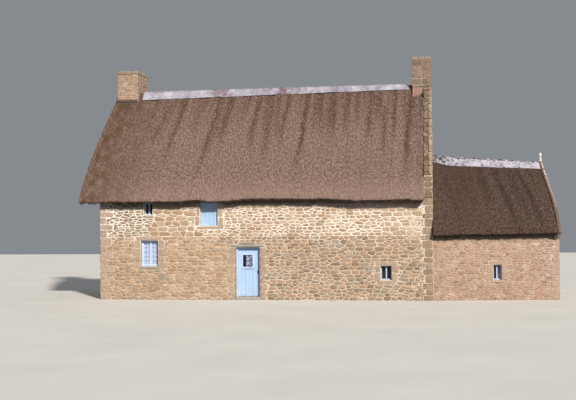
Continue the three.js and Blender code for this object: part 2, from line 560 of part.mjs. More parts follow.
function buildWingWalls() {
  const { x0, x1, z0, z1 } = WING_WINDOW;
  const window = box([x0, x1], [-50, WING_WALL + 50], [z0, z1]);
  const gableX = WING_LENGTH - WING_WALL;
  const front = box([WING_START, WING_LENGTH], [0, WING_WALL], [0, WING_HEAD]);
  wingPiece('wing_front_wall', cut(front, window), stone(RUBBLE));
  const backY = [WING_DEPTH - WING_WALL, WING_DEPTH];
  wingPiece('wing_back_wall', box([WING_START, WING_LENGTH], backY, [0, WING_HEAD]),
    stone(RUBBLE));
  wingPiece('wing_floor', box([WING_START, gableX - GAP], [WING_WALL + GAP, WING_DEPTH - WING_WALL - GAP],
    [0, FLOOR_TOP]), stone(0x8d8273));
  const inner = [WING_WALL + GAP, WING_DEPTH - WING_WALL - GAP];
  const body = box([gableX, WING_LENGTH], inner, [0, WING_HEAD + 10]);
  const ledge = WING_HEAD + GAP;
  const foot = WING_AXIS - 2 * GAP;
  const slope = WING_INNER.slice(2).map(([u, z]) => [u, z - 2 * GAP]);
  const half = [[foot, ledge], [foot, 2413 - SEAT], ...slope];
  const near = half.map(([u, z]) => [WING_AXIS + u, z]);
  const far = half.slice(0, -1).reverse().map(([u, z]) => [WING_AXIS - u, z]);
  const under = [...near, ...far];
  const upper = alongX(under, gableX, WING_LENGTH - WING_BAND);
  const bandHalf = [[foot, ledge], [WING_AXIS + GAP, ledge], [WING_AXIS + GAP, WING_KNEELER[0][1]],
    ...WING_KNEELER.slice(1), ...WING_OUTER.slice().reverse().map(([u, z]) => [u, z - 2 * GAP])];
  const band = [...bandHalf.map(([u, z]) => [WING_AXIS + u, z]),
    ...bandHalf.slice(0, -1).reverse().map(([u, z]) => [WING_AXIS - u, z])];
  const edge = alongX(band, WING_LENGTH - WING_BAND, WING_LENGTH);
  piece(wing, 'wing_gable_wall', join(body, upper, edge), stone(RUBBLE));
}

function buildWingRoof() {
  for (const [name, side] of [['wing_front_thatch', -1], ['wing_back_thatch', 1]]) {
    const half = onSide([...WING_OUTER, ...WING_INNER], side);
    const outline = side < 0 ? half : half.slice().reverse();
    const end = WING_LENGTH - WING_BAND - GAP;
    wingPiece(name, lofted((s) => raise(outline, s), [...WING_STATIONS, end]), thatch(WING_THATCH));
  }
  const slope = (WING_OUTER[0][1] - WING_OUTER[1][1]) / WING_OUTER[1][0];
  const { leftWidth, rightWidth, lip, top } = WING_CAP;
  const at = (s) => {
    const half = leftWidth + (rightWidth - leftWidth) * s / WING_LENGTH;
    const ridgeZ = WING_EAVE_Z + (WING_RIDGE_RIGHT - WING_EAVE_Z) * wingGrowth(s);
    const section = ridgeSection(half, lip, top, (y) => ridgeZ - slope * wingGrowth(s) * Math.abs(y), 40);
    return section.map(([y, z]) => [WING_AXIS + y, z]);
  };
  const capEnd = WING_LENGTH - WING_BAND - COPING_LIP - GAP;
  const knee = WING_OUTER[1][1];
  const slopes = [[-1870, knee], [-1870, 3000], [1870, 3000], [1870, knee], WING_OUTER[0]];
  const bed = slopes.map(([u, z]) => [WING_AXIS + u, z]);
  const bedStations = [...WING_STATIONS, WING_LENGTH - WING_BAND - GAP];
  const bedSolid = lofted((s) => raise(bed, s), bedStations).translate(0, 0, 2 * GAP);
  wingPiece('wing_ridge_cap', cut(lofted(at, [WING_START, capEnd]), bedSolid), stone(CEMENT));
  const beamHalf = WING_BEAM.width / 2;
  const beamTop = WING_INNER[3][1] - slope * beamHalf - 4;
  const beamLow = beamTop - WING_BEAM.height;
  const beam = [[WING_AXIS - beamHalf, beamLow], [WING_AXIS + beamHalf, beamLow],
    [WING_AXIS + beamHalf, beamTop], [WING_AXIS - beamHalf, beamTop]];
  const beamEnd = WING_LENGTH - WING_WALL - GAP;
  wingPiece('wing_ridge_beam', lofted((s) => raise(beam, s), [WING_START, beamEnd]), oak());
}

// Thin coping over the wing's gable, and the finial on its top
function buildWingCoping() {
  const outer = WING_OUTER.map(([u, z]) => [u + WING_COPING * 0.6, z + WING_COPING * 0.8]);
  outer[0] = [0, WING_RIDGE_RIGHT + WING_COPING];
  const up = [...WING_OUTER.slice().reverse(), ...WING_OUTER.slice(1).map(([u, z]) => [-u, z])];
  const down = [...outer.slice().reverse().slice(0, -1).map(([u, z]) => [-u, z]), ...outer];
  const band = [...up, ...down].map(([u, z]) => [WING_AXIS + u, z]);
  piece(wing, 'wing_coping', alongX(band.reverse(), WING_LENGTH - WING_BAND, WING_LENGTH + COPING_LIP),
    stone(GRANITE));
  const footZ = WING_RIDGE_RIGHT + WING_COPING + GAP;
  const { foot, neck, ball, top } = FINIAL;
  const profile = [[0, 0], [foot, 0], [foot * 0.9, 120], [neck, 175], [neck, 205], [ball, 240], [ball, 275],
    [ball * 0.6, top - footZ - 12], [0, top - footZ]].map(([r, z]) => new THREE.Vector2(r, z));
  const finial = piece(wing, 'wing_finial', new THREE.LatheGeometry(profile, 12), stone(0xe2e0d8));
  finial.rotation.x = Math.PI / 2;
  finial.position.set(WING_LENGTH - WING_BAND / 2 + 5, WING_AXIS, footZ);
}

buildLongWalls();
buildGables();
buildCopings();
buildChimneys();
buildThatch();
buildRoofTimbers();
buildFloors();
twoLightWindow(cottage, 'upper_left_window', UPPER_LEFT, FRONT + RECESS, -1);
twoLightWindow(cottage, 'lower_right_window', LOWER_RIGHT, FRONT + RECESS, -1);
twoLightWindow(cottage, 'back_lower_window', BACK_LOWER, BACK - RECESS, 1);
twoLightWindow(cottage, 'back_loft_window', BACK_LOFT, BACK - RECESS, 1);
buildCasement();
buildCurtain();
buildLoftDoor();
buildFrontDoor();
buildHinges();
buildWingWalls();
twoLightWindow(wing, 'wing_window', WING_WINDOW, RECESS, -1);
buildWingRoof();
buildWingCoping();

export default cottage;
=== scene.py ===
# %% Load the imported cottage
import math
import random

import bmesh
import bpy
import numpy as np
from mathutils import Matrix, Vector


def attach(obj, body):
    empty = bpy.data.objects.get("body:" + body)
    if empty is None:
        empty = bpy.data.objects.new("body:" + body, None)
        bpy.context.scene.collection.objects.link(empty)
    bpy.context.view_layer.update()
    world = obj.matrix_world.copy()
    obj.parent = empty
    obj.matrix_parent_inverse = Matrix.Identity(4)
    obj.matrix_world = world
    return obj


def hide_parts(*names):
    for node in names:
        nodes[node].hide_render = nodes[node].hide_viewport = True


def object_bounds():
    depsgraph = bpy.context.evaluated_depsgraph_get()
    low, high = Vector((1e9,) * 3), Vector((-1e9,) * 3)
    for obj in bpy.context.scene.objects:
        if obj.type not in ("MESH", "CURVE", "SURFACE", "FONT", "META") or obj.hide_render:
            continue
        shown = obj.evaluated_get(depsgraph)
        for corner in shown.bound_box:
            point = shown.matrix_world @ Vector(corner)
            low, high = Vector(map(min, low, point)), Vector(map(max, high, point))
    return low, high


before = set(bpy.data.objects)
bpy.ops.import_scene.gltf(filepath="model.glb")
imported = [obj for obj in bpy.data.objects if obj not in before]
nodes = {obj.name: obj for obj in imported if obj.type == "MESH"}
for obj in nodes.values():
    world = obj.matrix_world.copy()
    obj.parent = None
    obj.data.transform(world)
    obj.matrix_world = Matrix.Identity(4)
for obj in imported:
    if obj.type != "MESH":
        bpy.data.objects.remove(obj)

for stray in ("Cube", "Light", "Camera"):
    if stray in bpy.data.objects:
        bpy.data.objects.remove(bpy.data.objects[stray])
cad_box = [list(corner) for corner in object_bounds()]
print("solids", len(nodes), "box", [[round(v, 3) for v in corner] for corner in cad_box])

# %% [markdown]
# The house is a long box under a steep roof, with a lower wing turned a little against it. Sizes are in
# metres: X runs along the front, Y to the back and Z up, from the ground under the middle of the house.

# %% Sizes that several pieces share
HALF_LONG, HALF_DEEP = 6.4, 2.6
EAVE_Z, WALL_TOP, RIDGE_Z, EAVE_REACH = 3.72, 3.80, 8.383, 3.064
SLOPE = (RIDGE_Z - EAVE_Z) / EAVE_REACH
STEEP = math.atan(SLOPE)
PARAPET_X = 6.11
WING_TURN, WING_LONG, WING_DEEP, WING_EAVE, WING_WALL_TOP = 0.1416, 4.663, 4.816, 2.416, 2.37
WING_RIDGE, WING_SLOPE, WING_MIDDLE = (5.519, 5.205), 0.826, WING_DEEP / 2
WING_AT = Vector((HALF_LONG, -2.551, 0))
print("roof angle", round(math.degrees(STEEP), 1))

# %% [markdown]
# The picture was taken from about 36 m in front of the house, opposite its right end, turned a little to
# the left. The camera is rolled slightly, tilted up, turned and then moved to its place.

# %% Camera
TURN, TILT, ROLL = 0.1537, 0.028, -0.0076
EYE = Vector((6.568, -38.492, 2.763))
camera = bpy.data.objects.new("Camera", bpy.data.cameras.new("Camera"))
bpy.context.scene.collection.objects.link(camera)
lens = {"lens": 60.01, "sensor_width": 36.0, "sensor_fit": "HORIZONTAL", "clip_end": 200.0}
for setting, value in lens.items():
    setattr(camera.data, setting, value)
level = Matrix.Translation(EYE) @ Matrix.Rotation(TURN, 4, "Z")
camera.matrix_world = level @ Matrix.Rotation(math.pi / 2 + TILT, 4, "X") @ Matrix.Rotation(ROLL, 4, "Z")
bpy.context.scene.camera = camera
print("camera at", [round(v, 2) for v in EYE])

# %% [markdown]
# Every finish is a small tree of nodes. The helpers add a node, set its sockets by name and link it. A
# recipe then builds its base colour in layers, each laid over the last by some share, and ends with its
# bumps. Colours are written as they look on a screen and turned to linear values.

# %% Helpers for node trees


def colour(red, green, blue):
    """A screen colour from 0 to 255 as linear red, green, blue and alpha."""
    shares = [value / 255 for value in (red, green, blue)]
    return (*(s / 12.92 if s <= 0.04045 else ((s + 0.055) / 1.055) ** 2.4 for s in shares), 1.0)


class Tree:
    """A node tree and a short way to add a node to it and get one of its outputs."""

    def __init__(self, tree):
        self.tree = tree

    def add(self, kind, sockets=None, out=0, **settings):
        """Each socket is set to a value, linked to an output, or linked to each output of a list."""
        made = self.tree.nodes.new(kind)
        for key, value in settings.items():
            setattr(made, key, value)
        for key, value in (sockets or {}).items():
            socket = made.inputs[key]
            if isinstance(value, (list, bpy.types.NodeSocket)):
                for source in value if isinstance(value, list) else [value]:
                    self.tree.links.new(source, socket)
            else:
                socket.default_value = colour(*value) if socket.type == "RGBA" else value
        return made.outputs[out] if made.outputs else made


# %% A material made in layers


class Recipe(Tree):
    """A material with its base colour so far."""

    def __init__(self, name, roughness, shader=None):
        self.material = bpy.data.materials.new(name)
        self.material.use_nodes = True
        super().__init__(self.material.node_tree)
        self.shader = self.tree.nodes["Principled BSDF"]
        for key, value in {"Roughness": roughness, **(shader or {})}.items():
            self.shader.inputs[key].default_value = value
        self.place = self.add("ShaderNodeTexCoord", out="Object")
        self.base = None

    def part(self, vector, axis):
        return self.add("ShaderNodeSeparateXYZ", {"Vector": vector}, axis)

    def height(self, axis="Z"):
        return self.part(self.place, axis)

    def facing(self, axis):
        return self.part(self.add("ShaderNodeNewGeometry", out="Normal"), axis)

    def attribute(self, name):
        return self.add("ShaderNodeAttribute", out="Fac", attribute_name=name)

    def stretched(self, scale, turn=(0, 0, 0), source=None):
        sockets = {"Vector": source or self.place, "Scale": scale, "Rotation": turn}
        return self.add("ShaderNodeMapping", sockets)

    def grain(self, scale, vector=None, detail=4.0, rough=0.6, warp=0.0):
        sockets = {"Vector": vector or self.place, "Scale": scale, "Detail": detail, "Roughness": rough,
                   "Distortion": warp}
        return self.add("ShaderNodeTexNoise", sockets, "Fac")

    def range(self, value, low, high, out_low=0.0, out_high=1.0):
        sockets = {"Value": value, "From Min": low, "From Max": high, "To Min": out_low, "To Max": out_high}
        return self.add("ShaderNodeMapRange", sockets)

    def patches(self, scale, low, high, out_low=0.0, out_high=1.0, **kind):
        return self.range(self.grain(scale, **kind), low, high, out_low, out_high)

    def combine(self, first, second, operation="MULTIPLY"):
        return self.add("ShaderNodeMath", {0: first, 1: second}, operation=operation)

    def ramp(self, value, stops):
        made = self.add("ShaderNodeValToRGB", {"Fac": value})
        points = made.node.color_ramp.elements
        while len(points) < len(stops):
            points.new(0.5)
        for point, (at, shade) in zip(points, stops):
            point.position = at
            point.color = colour(*shade)
        return made

    def mix(self, share, first, second):
        return self.add("ShaderNodeMix", {0: share, 6: first, 7: second}, 2, data_type="RGBA")

    def over(self, share, shade):
        self.base = self.mix(share, self.base, shade)

    def speckle(self, scale, darkest, brightest, low=0.3, high=0.7, detail=3.0):
        spots = self.patches(scale, low, high, darkest, brightest, detail=detail)
        self.base = self.mix(spots, (0, 0, 0), self.base)

    def finish(self, *bumps):
        """Links the base and the bumps: height, distance and perhaps strength of each, the lowest first."""
        self.tree.links.new(self.base, self.shader.inputs["Base Color"])
        socket = None
        for height, distance, *strength in bumps:
            sockets = {"Height": height, "Distance": distance, "Strength": strength[0] if strength else 1.0}
            if socket:
                sockets["Normal"] = socket
            socket = self.add("ShaderNodeBump", sockets)
        if socket:
            self.tree.links.new(socket, self.shader.inputs["Normal"])
        return self.material


# %% [markdown]
# The walls are rubble: buff, pink and rusty stones in wide joints of pale lime. Each stone carries a number
# called tint, the same all over it, which picks its colour from a ramp. A fine grain, pale lichen and rusty
# stains in patches go over that, so no two stones look alike while one material serves them all. Stones and
# mortar carry a painted shade in a band just under an eave, and a wall without one gives a height that it
# never reaches.

# %% Stone and mortar
WING_SHADE, NO_EAVE = 2.42, 20.0


def rubble_stone(name, eave, *tints):
    """Stones coloured by their own tint, with mottling, pale lichen, grain and a band of painted shade under
    the eave.
    """
    recipe = Recipe(name, 0.92)
    last = len(tints) - 1
    recipe.base = recipe.ramp(recipe.attribute("tint"), [(i / last, shade) for i, shade in enumerate(tints)])
    recipe.over(recipe.patches(7.0, 0.36, 0.68, 0.0, 0.42, detail=6.0, rough=0.65), (150, 118, 98))
    recipe.over(recipe.patches(3.1, 0.54, 0.70, 0.0, 0.60, detail=6.0, rough=0.7), (238, 222, 198))
    recipe.over(recipe.patches(1.9, 0.62, 0.72, 0.0, 0.40, detail=5.0, rough=0.7), (190, 134, 92))
    recipe.speckle(52.0, 0.80, 1.08, high=0.72)
    # Painted shade: the 0.3 m of wall just under the eave are darkened where the thatch shades them.
    recipe.over(recipe.range(recipe.height(), eave - 0.30, eave, 0.0, 0.78), (54, 44, 22))
    return recipe.finish((recipe.grain(38.0, detail=6.0), 0.012), (recipe.grain(8.0), 0.03))


def lime_mortar(name, pale, earthy, low, high, eave=NO_EAVE, right=None, foot=None):
    """Mortar that pales upwards and, on a front, right of a line; painted shade under an eave and, on front
    faces, below the foot of a chimney's drip.
    """
    recipe = Recipe(name, 0.95)
    share = recipe.range(recipe.height(), low, high)
    shade = recipe.range(recipe.height(), eave - 0.30, eave, 0.0, 0.90)
    if right:
        beyond = recipe.range(recipe.height("X"), right, right + 0.8, 0.0, 0.30)
        share = recipe.combine(share, beyond, "MAXIMUM")
        side = recipe.facing("X")
        front_on = recipe.range(recipe.combine(side, side), 0.3, 0.6, 1.0, 0.2)
        share, shade = recipe.combine(share, front_on), recipe.combine(shade, front_on)
    uneven = recipe.patches(1.1, 0.3, 0.7, 0.4, 1.6, detail=5.0)
    recipe.base = recipe.mix(recipe.combine(share, uneven), earthy, pale)
    recipe.over(recipe.patches(6.0, 0.50, 0.75, 0.0, 0.6, detail=6.0), (176, 148, 120))
    # Painted shade under the eave, weaker on faces that turn sideways.
    recipe.over(shade, (58, 48, 24))
    if foot:
        # Painted shade: front faces below the foot, where a chimney's drip overhangs, are darkened.
        below = recipe.range(recipe.height(), foot, foot + 0.02, 0.85, 0.0)
        to_front = recipe.range(recipe.facing("Y"), -0.9, -0.6, 1.0, 0.0)
        recipe.over(recipe.combine(below, to_front), (62, 50, 40))
    return recipe.finish((recipe.grain(60.0, detail=5.0), 0.01))


def granite(name, base, dark, lichen, amount):
    """Dressed granite between two shades, with lichen over a share of it."""
    recipe = Recipe(name, 0.88)
    recipe.base = recipe.mix(recipe.attribute("tint"), base, dark)
    recipe.over(recipe.patches(5.0, 0.35, 0.7, detail=6.0), base)
    low = 0.60 - amount * 0.2
    recipe.over(recipe.patches(11.0, low, low + 0.12, 0.0, amount, detail=7.0, rough=0.7), lichen)
    recipe.speckle(90.0, 0.86, 1.06)
    return recipe.finish((recipe.grain(55.0, detail=6.0), 0.008), (recipe.grain(7.0), 0.02))


def mottled(name, base, dark, pale):
    """Edge stones with dark moss and white crust in patches the size of a hand."""
    recipe = Recipe(name, 0.92)
    recipe.base = recipe.mix(recipe.attribute("tint"), base, dark)
    recipe.over(recipe.patches(9.0, 0.46, 0.58, 0.0, 0.85, detail=6.0, rough=0.75), dark)
    recipe.over(recipe.patches(12.0, 0.55, 0.63, 0.0, 0.9, detail=6.0, rough=0.8, warp=0.6), pale)
    return recipe.finish((recipe.grain(50.0, detail=6.0), 0.01), (recipe.grain(9.0), 0.03))


# %% Finishes of stone and mortar
STONE = rubble_stone(
    "rubble stone", EAVE_Z, (136, 115, 94), (162, 138, 112), (180, 152, 124), (168, 152, 134),
    (194, 162, 134), (190, 151, 120), (200, 171, 138), (212, 184, 152), (208, 174, 146),
    (226, 200, 170), (234, 214, 188))
STONE_HIGH = rubble_stone(
    "gable stone", NO_EAVE, (142, 120, 102), (186, 158, 136), (176, 160, 146), (204, 170, 148),
    (198, 158, 132), (214, 186, 156), (226, 200, 170))
STACK_STONE = rubble_stone(
    "stack stone", NO_EAVE, (150, 122, 104), (188, 156, 134), (170, 144, 126), (206, 176, 152),
    (160, 128, 106), (196, 162, 138))
WING_STONE = rubble_stone(
    "wing stone", WING_SHADE, (150, 122, 106), (182, 148, 126), (194, 154, 132), (172, 146, 128),
    (200, 166, 142), (190, 150, 126), (212, 182, 156))
WING_STONE_HIGH = rubble_stone(
    "wing gable stone", NO_EAVE, (170, 136, 114), (196, 158, 132), (206, 166, 136), (186, 154, 134),
    (212, 176, 146))
MORTAR = lime_mortar("lime mortar", (246, 237, 222), (203, 178, 147), 1.9, 2.7, EAVE_Z, right=-0.3)
GABLE_MORTAR = lime_mortar("gable mortar", (226, 208, 184), (208, 184, 156), 1.9, 6.0)
WING_MORTAR = lime_mortar("wing mortar", (214, 190, 168), (194, 166, 144), 0.6, 2.2, WING_SHADE)
WING_GABLE_MORTAR = lime_mortar("wing gable mortar", (214, 190, 166), (194, 166, 142), 0.6, 4.4)
# The foot is where each chimney's drip sits; front faces below it carry painted shade.
STACK_MORTAR = lime_mortar("stack mortar", (192, 167, 145), (220, 202, 178), 7.3, 7.5, foot=8.075)
RIGHT_MORTAR = lime_mortar("right stack mortar", (146, 126, 108), (220, 202, 178), 6.6, 6.9, foot=8.275)
PINK_MORTAR = lime_mortar("pink mortar", (156, 122, 110), (140, 106, 96), 7.8, 8.2)
DRESSED = granite("dressed granite", (188, 160, 141), (160, 133, 115), (218, 198, 170), 0.5)
WING_DRESSED = granite("wing dressed stone", (186, 158, 136), (166, 138, 118), (212, 192, 168), 0.4)
ARRIS = granite("worn pink edge stone", (152, 130, 128), (134, 114, 114), (180, 158, 150), 0.4)
CAPSTONE = granite("capstone with lichen", (166, 148, 126), (138, 118, 98), (140, 134, 104), 0.55)
SLAB = granite("granite slab", (176, 166, 152), (150, 138, 126), (196, 188, 168), 0.4)
PALE_BLOCK = granite("pale block", (232, 222, 204), (214, 200, 178), (196, 184, 156), 0.3)
FLAGS = granite("stone floor", (168, 160, 150), (132, 124, 116), (176, 166, 150), 0.3)
QUOIN = mottled("weathered quoin", (178, 150, 128), (144, 120, 98), (204, 186, 162))
FOOT_STONE = mottled("stained edge stone", (154, 130, 112), (124, 104, 84), (176, 160, 138))
COPING = mottled("coping with moss and crust", (152, 128, 108), (88, 72, 50), (194, 182, 156))
EDGE_STONE = mottled("parapet edge stone", (176, 156, 137), (142, 118, 96), (200, 184, 160))
ASHLAR = mottled("squared stack stone", (162, 138, 124), (122, 104, 84), (172, 154, 130))
print("stone finishes", len(bpy.data.materials))

# %% [markdown]
# Many small things are laid by Geometry Nodes. Each tree ends alike: a slow noise pushes the whole wall
# about sideways, so neighbours move together and joints stay open but no edge is straight. A finer noise
# roughens each face, the copies are made real, and the finish is set.

# %% Parts of the trees


def new_tree(name, *inputs):
    group = bpy.data.node_groups.new(name, "GeometryNodeTree")
    shared = [(label, "Float") for label in ("Wander", "Wander size", "Roughness", "Offset")]
    for label, kind in (("Layout", "Geometry"), *inputs, ("Finish", "Material"), *shared):
        group.interface.new_socket(label, in_out="INPUT", socket_type="NodeSocket" + kind)
    group.interface.new_socket("Stones", in_out="OUTPUT", socket_type="NodeSocketGeometry")
    tree = Tree(group)
    return tree, tree.add("NodeGroupInput").node.outputs


def end_tree(tree, given, last):
    """Adds the wander and the roughness, makes the geometry real, paints it and links the output."""
    shift = tree.add("ShaderNodeCombineXYZ", {"X": given["Offset"]})
    moved = tree.add("ShaderNodeVectorMath", {0: tree.add("GeometryNodeInputPosition"), 1: shift})
    for scale, reach, shares in ((given["Wander size"], given["Wander"], (1.0, 0.0, 1.0)),
                                 (17.0, given["Roughness"], (0.6, 1.0, 0.6))):
        push = tree.add("ShaderNodeTexNoise", {"Vector": moved, "Detail": 1.0, "Scale": scale}, "Color")
        for operation, sockets in (("SUBTRACT", {1: (0.5, 0.5, 0.5)}), ("MULTIPLY", {1: shares}),
                                   ("SCALE", {"Scale": reach})):
            push = tree.add("ShaderNodeVectorMath", {0: push, **sockets}, operation=operation)
        last = tree.add("GeometryNodeSetPosition", {"Geometry": last, "Offset": push})
    real = tree.add("GeometryNodeRealizeInstances", {"Geometry": last})
    painted = tree.add("GeometryNodeSetMaterial", {"Geometry": real, "Material": given["Finish"]})
    tree.add("NodeGroupOutput", {0: painted})
    return tree.tree


def run_tree(made, tree, **values):
    """Sets the tree's inputs by socket identifier, runs it on the object and keeps the result as a mesh."""
    modifier = made.modifiers.new("tree", "NODES")
    modifier.node_group = tree
    for item in tree.interface.items_tree:
        key = getattr(item, "name", "").replace(" ", "_")
        if item.item_type == "SOCKET" and item.in_out == "INPUT" and key in values:
            modifier[item.identifier] = values[key]
    made.update_tag()
    bake(made)


def bake(made):
    """Replaces an object's mesh with what its modifiers make of it."""
    bpy.context.view_layer.update()
    graph = bpy.context.evaluated_depsgraph_get()
    result = bpy.data.meshes.new_from_object(made.evaluated_get(graph), depsgraph=graph)
    made.modifiers.clear()
    made.data = result


# %% Parts of every piece


def put(name, verts, faces):
    mesh = bpy.data.meshes.new(name)
    mesh.from_pydata([tuple(v) for v in verts], [], faces)
    mesh.update()
    made = bpy.data.objects.new(name, mesh)
    bpy.context.scene.collection.objects.link(made)
    return made


def put_hidden(name, verts, faces):
    """An object that is only copied by a tree; it is removed at the end."""
    made = put(name, verts, faces)
    made.hide_render = made.hide_viewport = True
    return made


def store(made, domain, **columns):
    for label, values in columns.items():
        kind, key = ("FLOAT_VECTOR", "vector") if label in ("extent", "tilt") else ("FLOAT", "value")
        made.data.attributes.new(label, kind, domain).data.foreach_set(key, values)


def face_outward(made):
    bm = bmesh.new()
    bm.from_mesh(made.data)
    bmesh.ops.recalc_face_normals(bm, faces=bm.faces)
    bm.to_mesh(made.data)
    bm.free()


def read(items, key, wide=1, kind=float):
    """One property of every item of a mesh as an array."""
    found = np.zeros(len(items) * wide, dtype=kind)
    items.foreach_get(key, found)
    return found.reshape(-1, wide) if wide > 1 else found


LOWEST_CORNER = (-7.146, -9.0, 0.001)


def settle(made):
    """Keeps the points of a piece above the ground and inside the far left edge of the thatch."""
    points = np.maximum(read(made.data.vertices, "co", 3), LOWEST_CORNER)
    made.data.vertices.foreach_set("co", points.ravel())
    made.data.update()


def keep(made, name, replaced=(), body="house", finish=None, smooth=False):
    """Names a finished piece, gives it its body and its finish, and hides the nodes it stands for."""
    made.name = name
    made.data.name = name
    if finish:
        made.data.materials.clear()
        made.data.materials.append(finish)
    made.data.polygons.foreach_set("use_smooth", [smooth] * len(made.data.polygons))
    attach(made, body)
    if replaced:
        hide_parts(*replaced)
    print(name, "faces", len(made.data.polygons))
    return made


# %% [markdown]
# A dressed stone is a block with rounded corners and a face that stands a little proud. One block is drawn
# once, and a tree sets a copy on each point of a layout, scaled to the stone's size.

# %% One block, and the tree that lays it


def squared_block_faces(count=12, power=7.0):
    """Points and faces of a closed block from -1 to 1, its face to -Y; power makes the corners squarer."""
    ring = []
    for i in range(count):
        angle = 2 * math.pi * (i + 0.5) / count
        x, z = math.cos(angle), math.sin(angle)
        reach = (abs(x) ** power + abs(z) ** power) ** (-1 / power)
        ring.append((x * reach, z * reach))
    loops = ((1.0, 1.0), (1.0, -0.35), (0.93, -0.92))
    verts = [(x * wide, y, z * wide) for wide, y in loops for x, z in ring]
    faces = []
    for start in (0, count):
        for i in range(count):
            a, b = start + i, start + (i + 1) % count
            faces.append((a, b, b + count, a + count))
    for i in range(count):
        j = (i + 1) % count
        faces += [(2 * count + i, 2 * count + j, 3 * count), (j, i, 3 * count + 1)]
    return verts + [(0, -1.0, 0), (0, 1.0, 0)], faces


def laying_tree():
    tree, given = new_tree("Lay stones", ("Block", "Object"))
    block = tree.add("GeometryNodeObjectInfo", {"Object": given["Block"]}, "Geometry")
    sockets = {"Points": given["Layout"], "Instance": block}
    for name, socket in (("extent", "Scale"), ("tilt", "Rotation")):
        stored = tree.add("GeometryNodeInputNamedAttribute", {"Name": name}, data_type="FLOAT_VECTOR")
        sockets[socket] = stored
    copies = tree.add("GeometryNodeInstanceOnPoints", sockets)
    return end_tree(tree, given, tree.add("GeometryNodeRealizeInstances", {"Geometry": copies}))


LAYING = laying_tree()
squared_block = put_hidden("squared_block", *squared_block_faces())
print("tree", LAYING.name, "and a block of faces", len(squared_block.data.polygons))

# %% Laying blocks


def lay_copies(name, block, finish, stones, wander, size, rough, offset):
    """Copies the block to each stone's place, extent, tilt and tint, and lets the tree unsettle them."""
    places, extent, tilt, tint = zip(*stones)
    layout = put(name, places, [])
    store(layout, "POINT", extent=np.ravel(extent), tilt=np.ravel(tilt), tint=np.array(tint))
    run_tree(layout, LAYING, Block=block, Finish=finish, Wander=wander, Wander_size=size, Roughness=rough,
             Offset=float(offset))
    return layout


def lay(name, cells, wall, finish, seed, wander=0.016, size=3.0, rough=0.008, joint=0.018, proud=0.02,
        lean=0.014, deep=0.045, replaced=()):
    """Lays a dressed block in each cell (u0, u1, z0, z1) of a wall and puts all where the matrix says."""
    pick = random.Random(seed)
    stones = []
    for u0, u1, z0, z1 in cells:
        half = (deep + proud * pick.uniform(0.7, 1.25)) / 2
        extent = (max(0.012, (u1 - u0 - joint) / 2), half, max(0.010, (z1 - z0 - joint) / 2))
        tilt = (pick.gauss(0, lean * 0.6), pick.gauss(0, lean), pick.gauss(0, lean * 0.6))
        stones.append((((u0 + u1) / 2, deep - half, (z0 + z1) / 2), extent, tilt, pick.uniform(0.0, 1.0)))
    layout = lay_copies(name, squared_block, finish, stones, wander * 2, size, rough * 2, seed * 7)
    layout.data.transform(wall)
    settle(layout)
    keep(layout, name, replaced)


# %% [markdown]
# Rubble is different: no two stones share a shape, and each fills the gap that its neighbours leave. So
# each stone starts as a flat polygon, and a second tree turns the sheet of polygons into stones. It pulls
# each face out in three steps and shrinks it on the way, so every stone gets a bevel and a crown.

# %% The tree that raises stones from polygons


def raising_tree():
    tree, given = new_tree("Raise stones", ("Depth", "Float"), ("Proud", "Float"))
    own = tree.add("GeometryNodeInputNamedAttribute", {"Name": "proud"}, data_type="FLOAT")
    reach = tree.add("ShaderNodeMath", {0: own, 1: given["Proud"]}, operation="MULTIPLY")
    parts = [tree.add("ShaderNodeMath", {0: reach, 1: share}, operation="MULTIPLY") for share in (0.62, 0.38)]
    last, chosen = given["Layout"], {}
    for far, size in zip([given["Depth"], *parts], (1.0, 0.90, 0.62)):
        sockets = {"Mesh": last, "Offset Scale": far, "Individual": True, **chosen}
        pulled = tree.add("GeometryNodeExtrudeMesh", sockets, mode="FACES")
        chosen = {"Selection": pulled.node.outputs["Top"]}
        last = tree.add("GeometryNodeScaleElements", {"Geometry": pulled, "Scale": size, **chosen})
    back = tree.add("GeometryNodeFlipFaces", {"Mesh": given["Layout"]})
    both = tree.add("GeometryNodeJoinGeometry", {"Geometry": [back, last]})
    merged = tree.add("GeometryNodeMergeByDistance", {"Geometry": both, "Distance": 0.0002})
    return end_tree(tree, given, merged)


RAISING = raising_tree()
print("trees", [group.name for group in bpy.data.node_groups])

# %% [markdown]
# The polygons come from plain arithmetic. Seeds are scattered in loose rows, and the nearer half of the
# wall between two seeds is a half plane. A stone is what is left of a rectangle after one cut for each
# neighbour. The same cut trims it at windows and dressed blocks, draws it in by half a joint and takes off
# its sharp corners.

# %% Stones as polygons


def cut_by(shape, a, b, c):
    """What is left of a convex polygon where a u + b z is at most c."""
    left = []
    for (u0, z0), (u1, z1) in zip(shape, shape[1:] + shape[:1]):
        d0, d1 = a * u0 + b * z0 - c, a * u1 + b * z1 - c
        if d0 <= 0:
            left.append((u0, z0))
        if d0 < 0 < d1 or d1 < 0 < d0:
            t = d0 / (d0 - d1)
            left.append((u0 + (u1 - u0) * t, z0 + (z1 - z0) * t))
    return left if len(left) > 2 else []


def scatter(pick, zone):
    """Seeds in loose rows over a zone (u0, u1, z0, z1, row, stretch, joint, low tint, high tint)."""
    u0, u1, z0, z1, row, stretch = zone[:6]
    seeds = []
    rows = max(1, round((z1 - z0) / row))
    for j in range(rows):
        z = z0 + (j + 0.5) * (z1 - z0) / rows
        u = u0 + pick.uniform(0.1, 0.9) * row * stretch
        while u < u1:
            wide = row * stretch * pick.choice((0.55, 0.8, 1.0, 1.2, 1.6))
            seeds.append((u, z + pick.uniform(-0.22, 0.22) * row, *zone[4:]))
            if pick.random() < 0.14:
                seeds.append((u + 0.3 * wide, z + pick.choice((-0.5, 0.5)) * row, *zone[4:]))
            u += wide
    return seeds


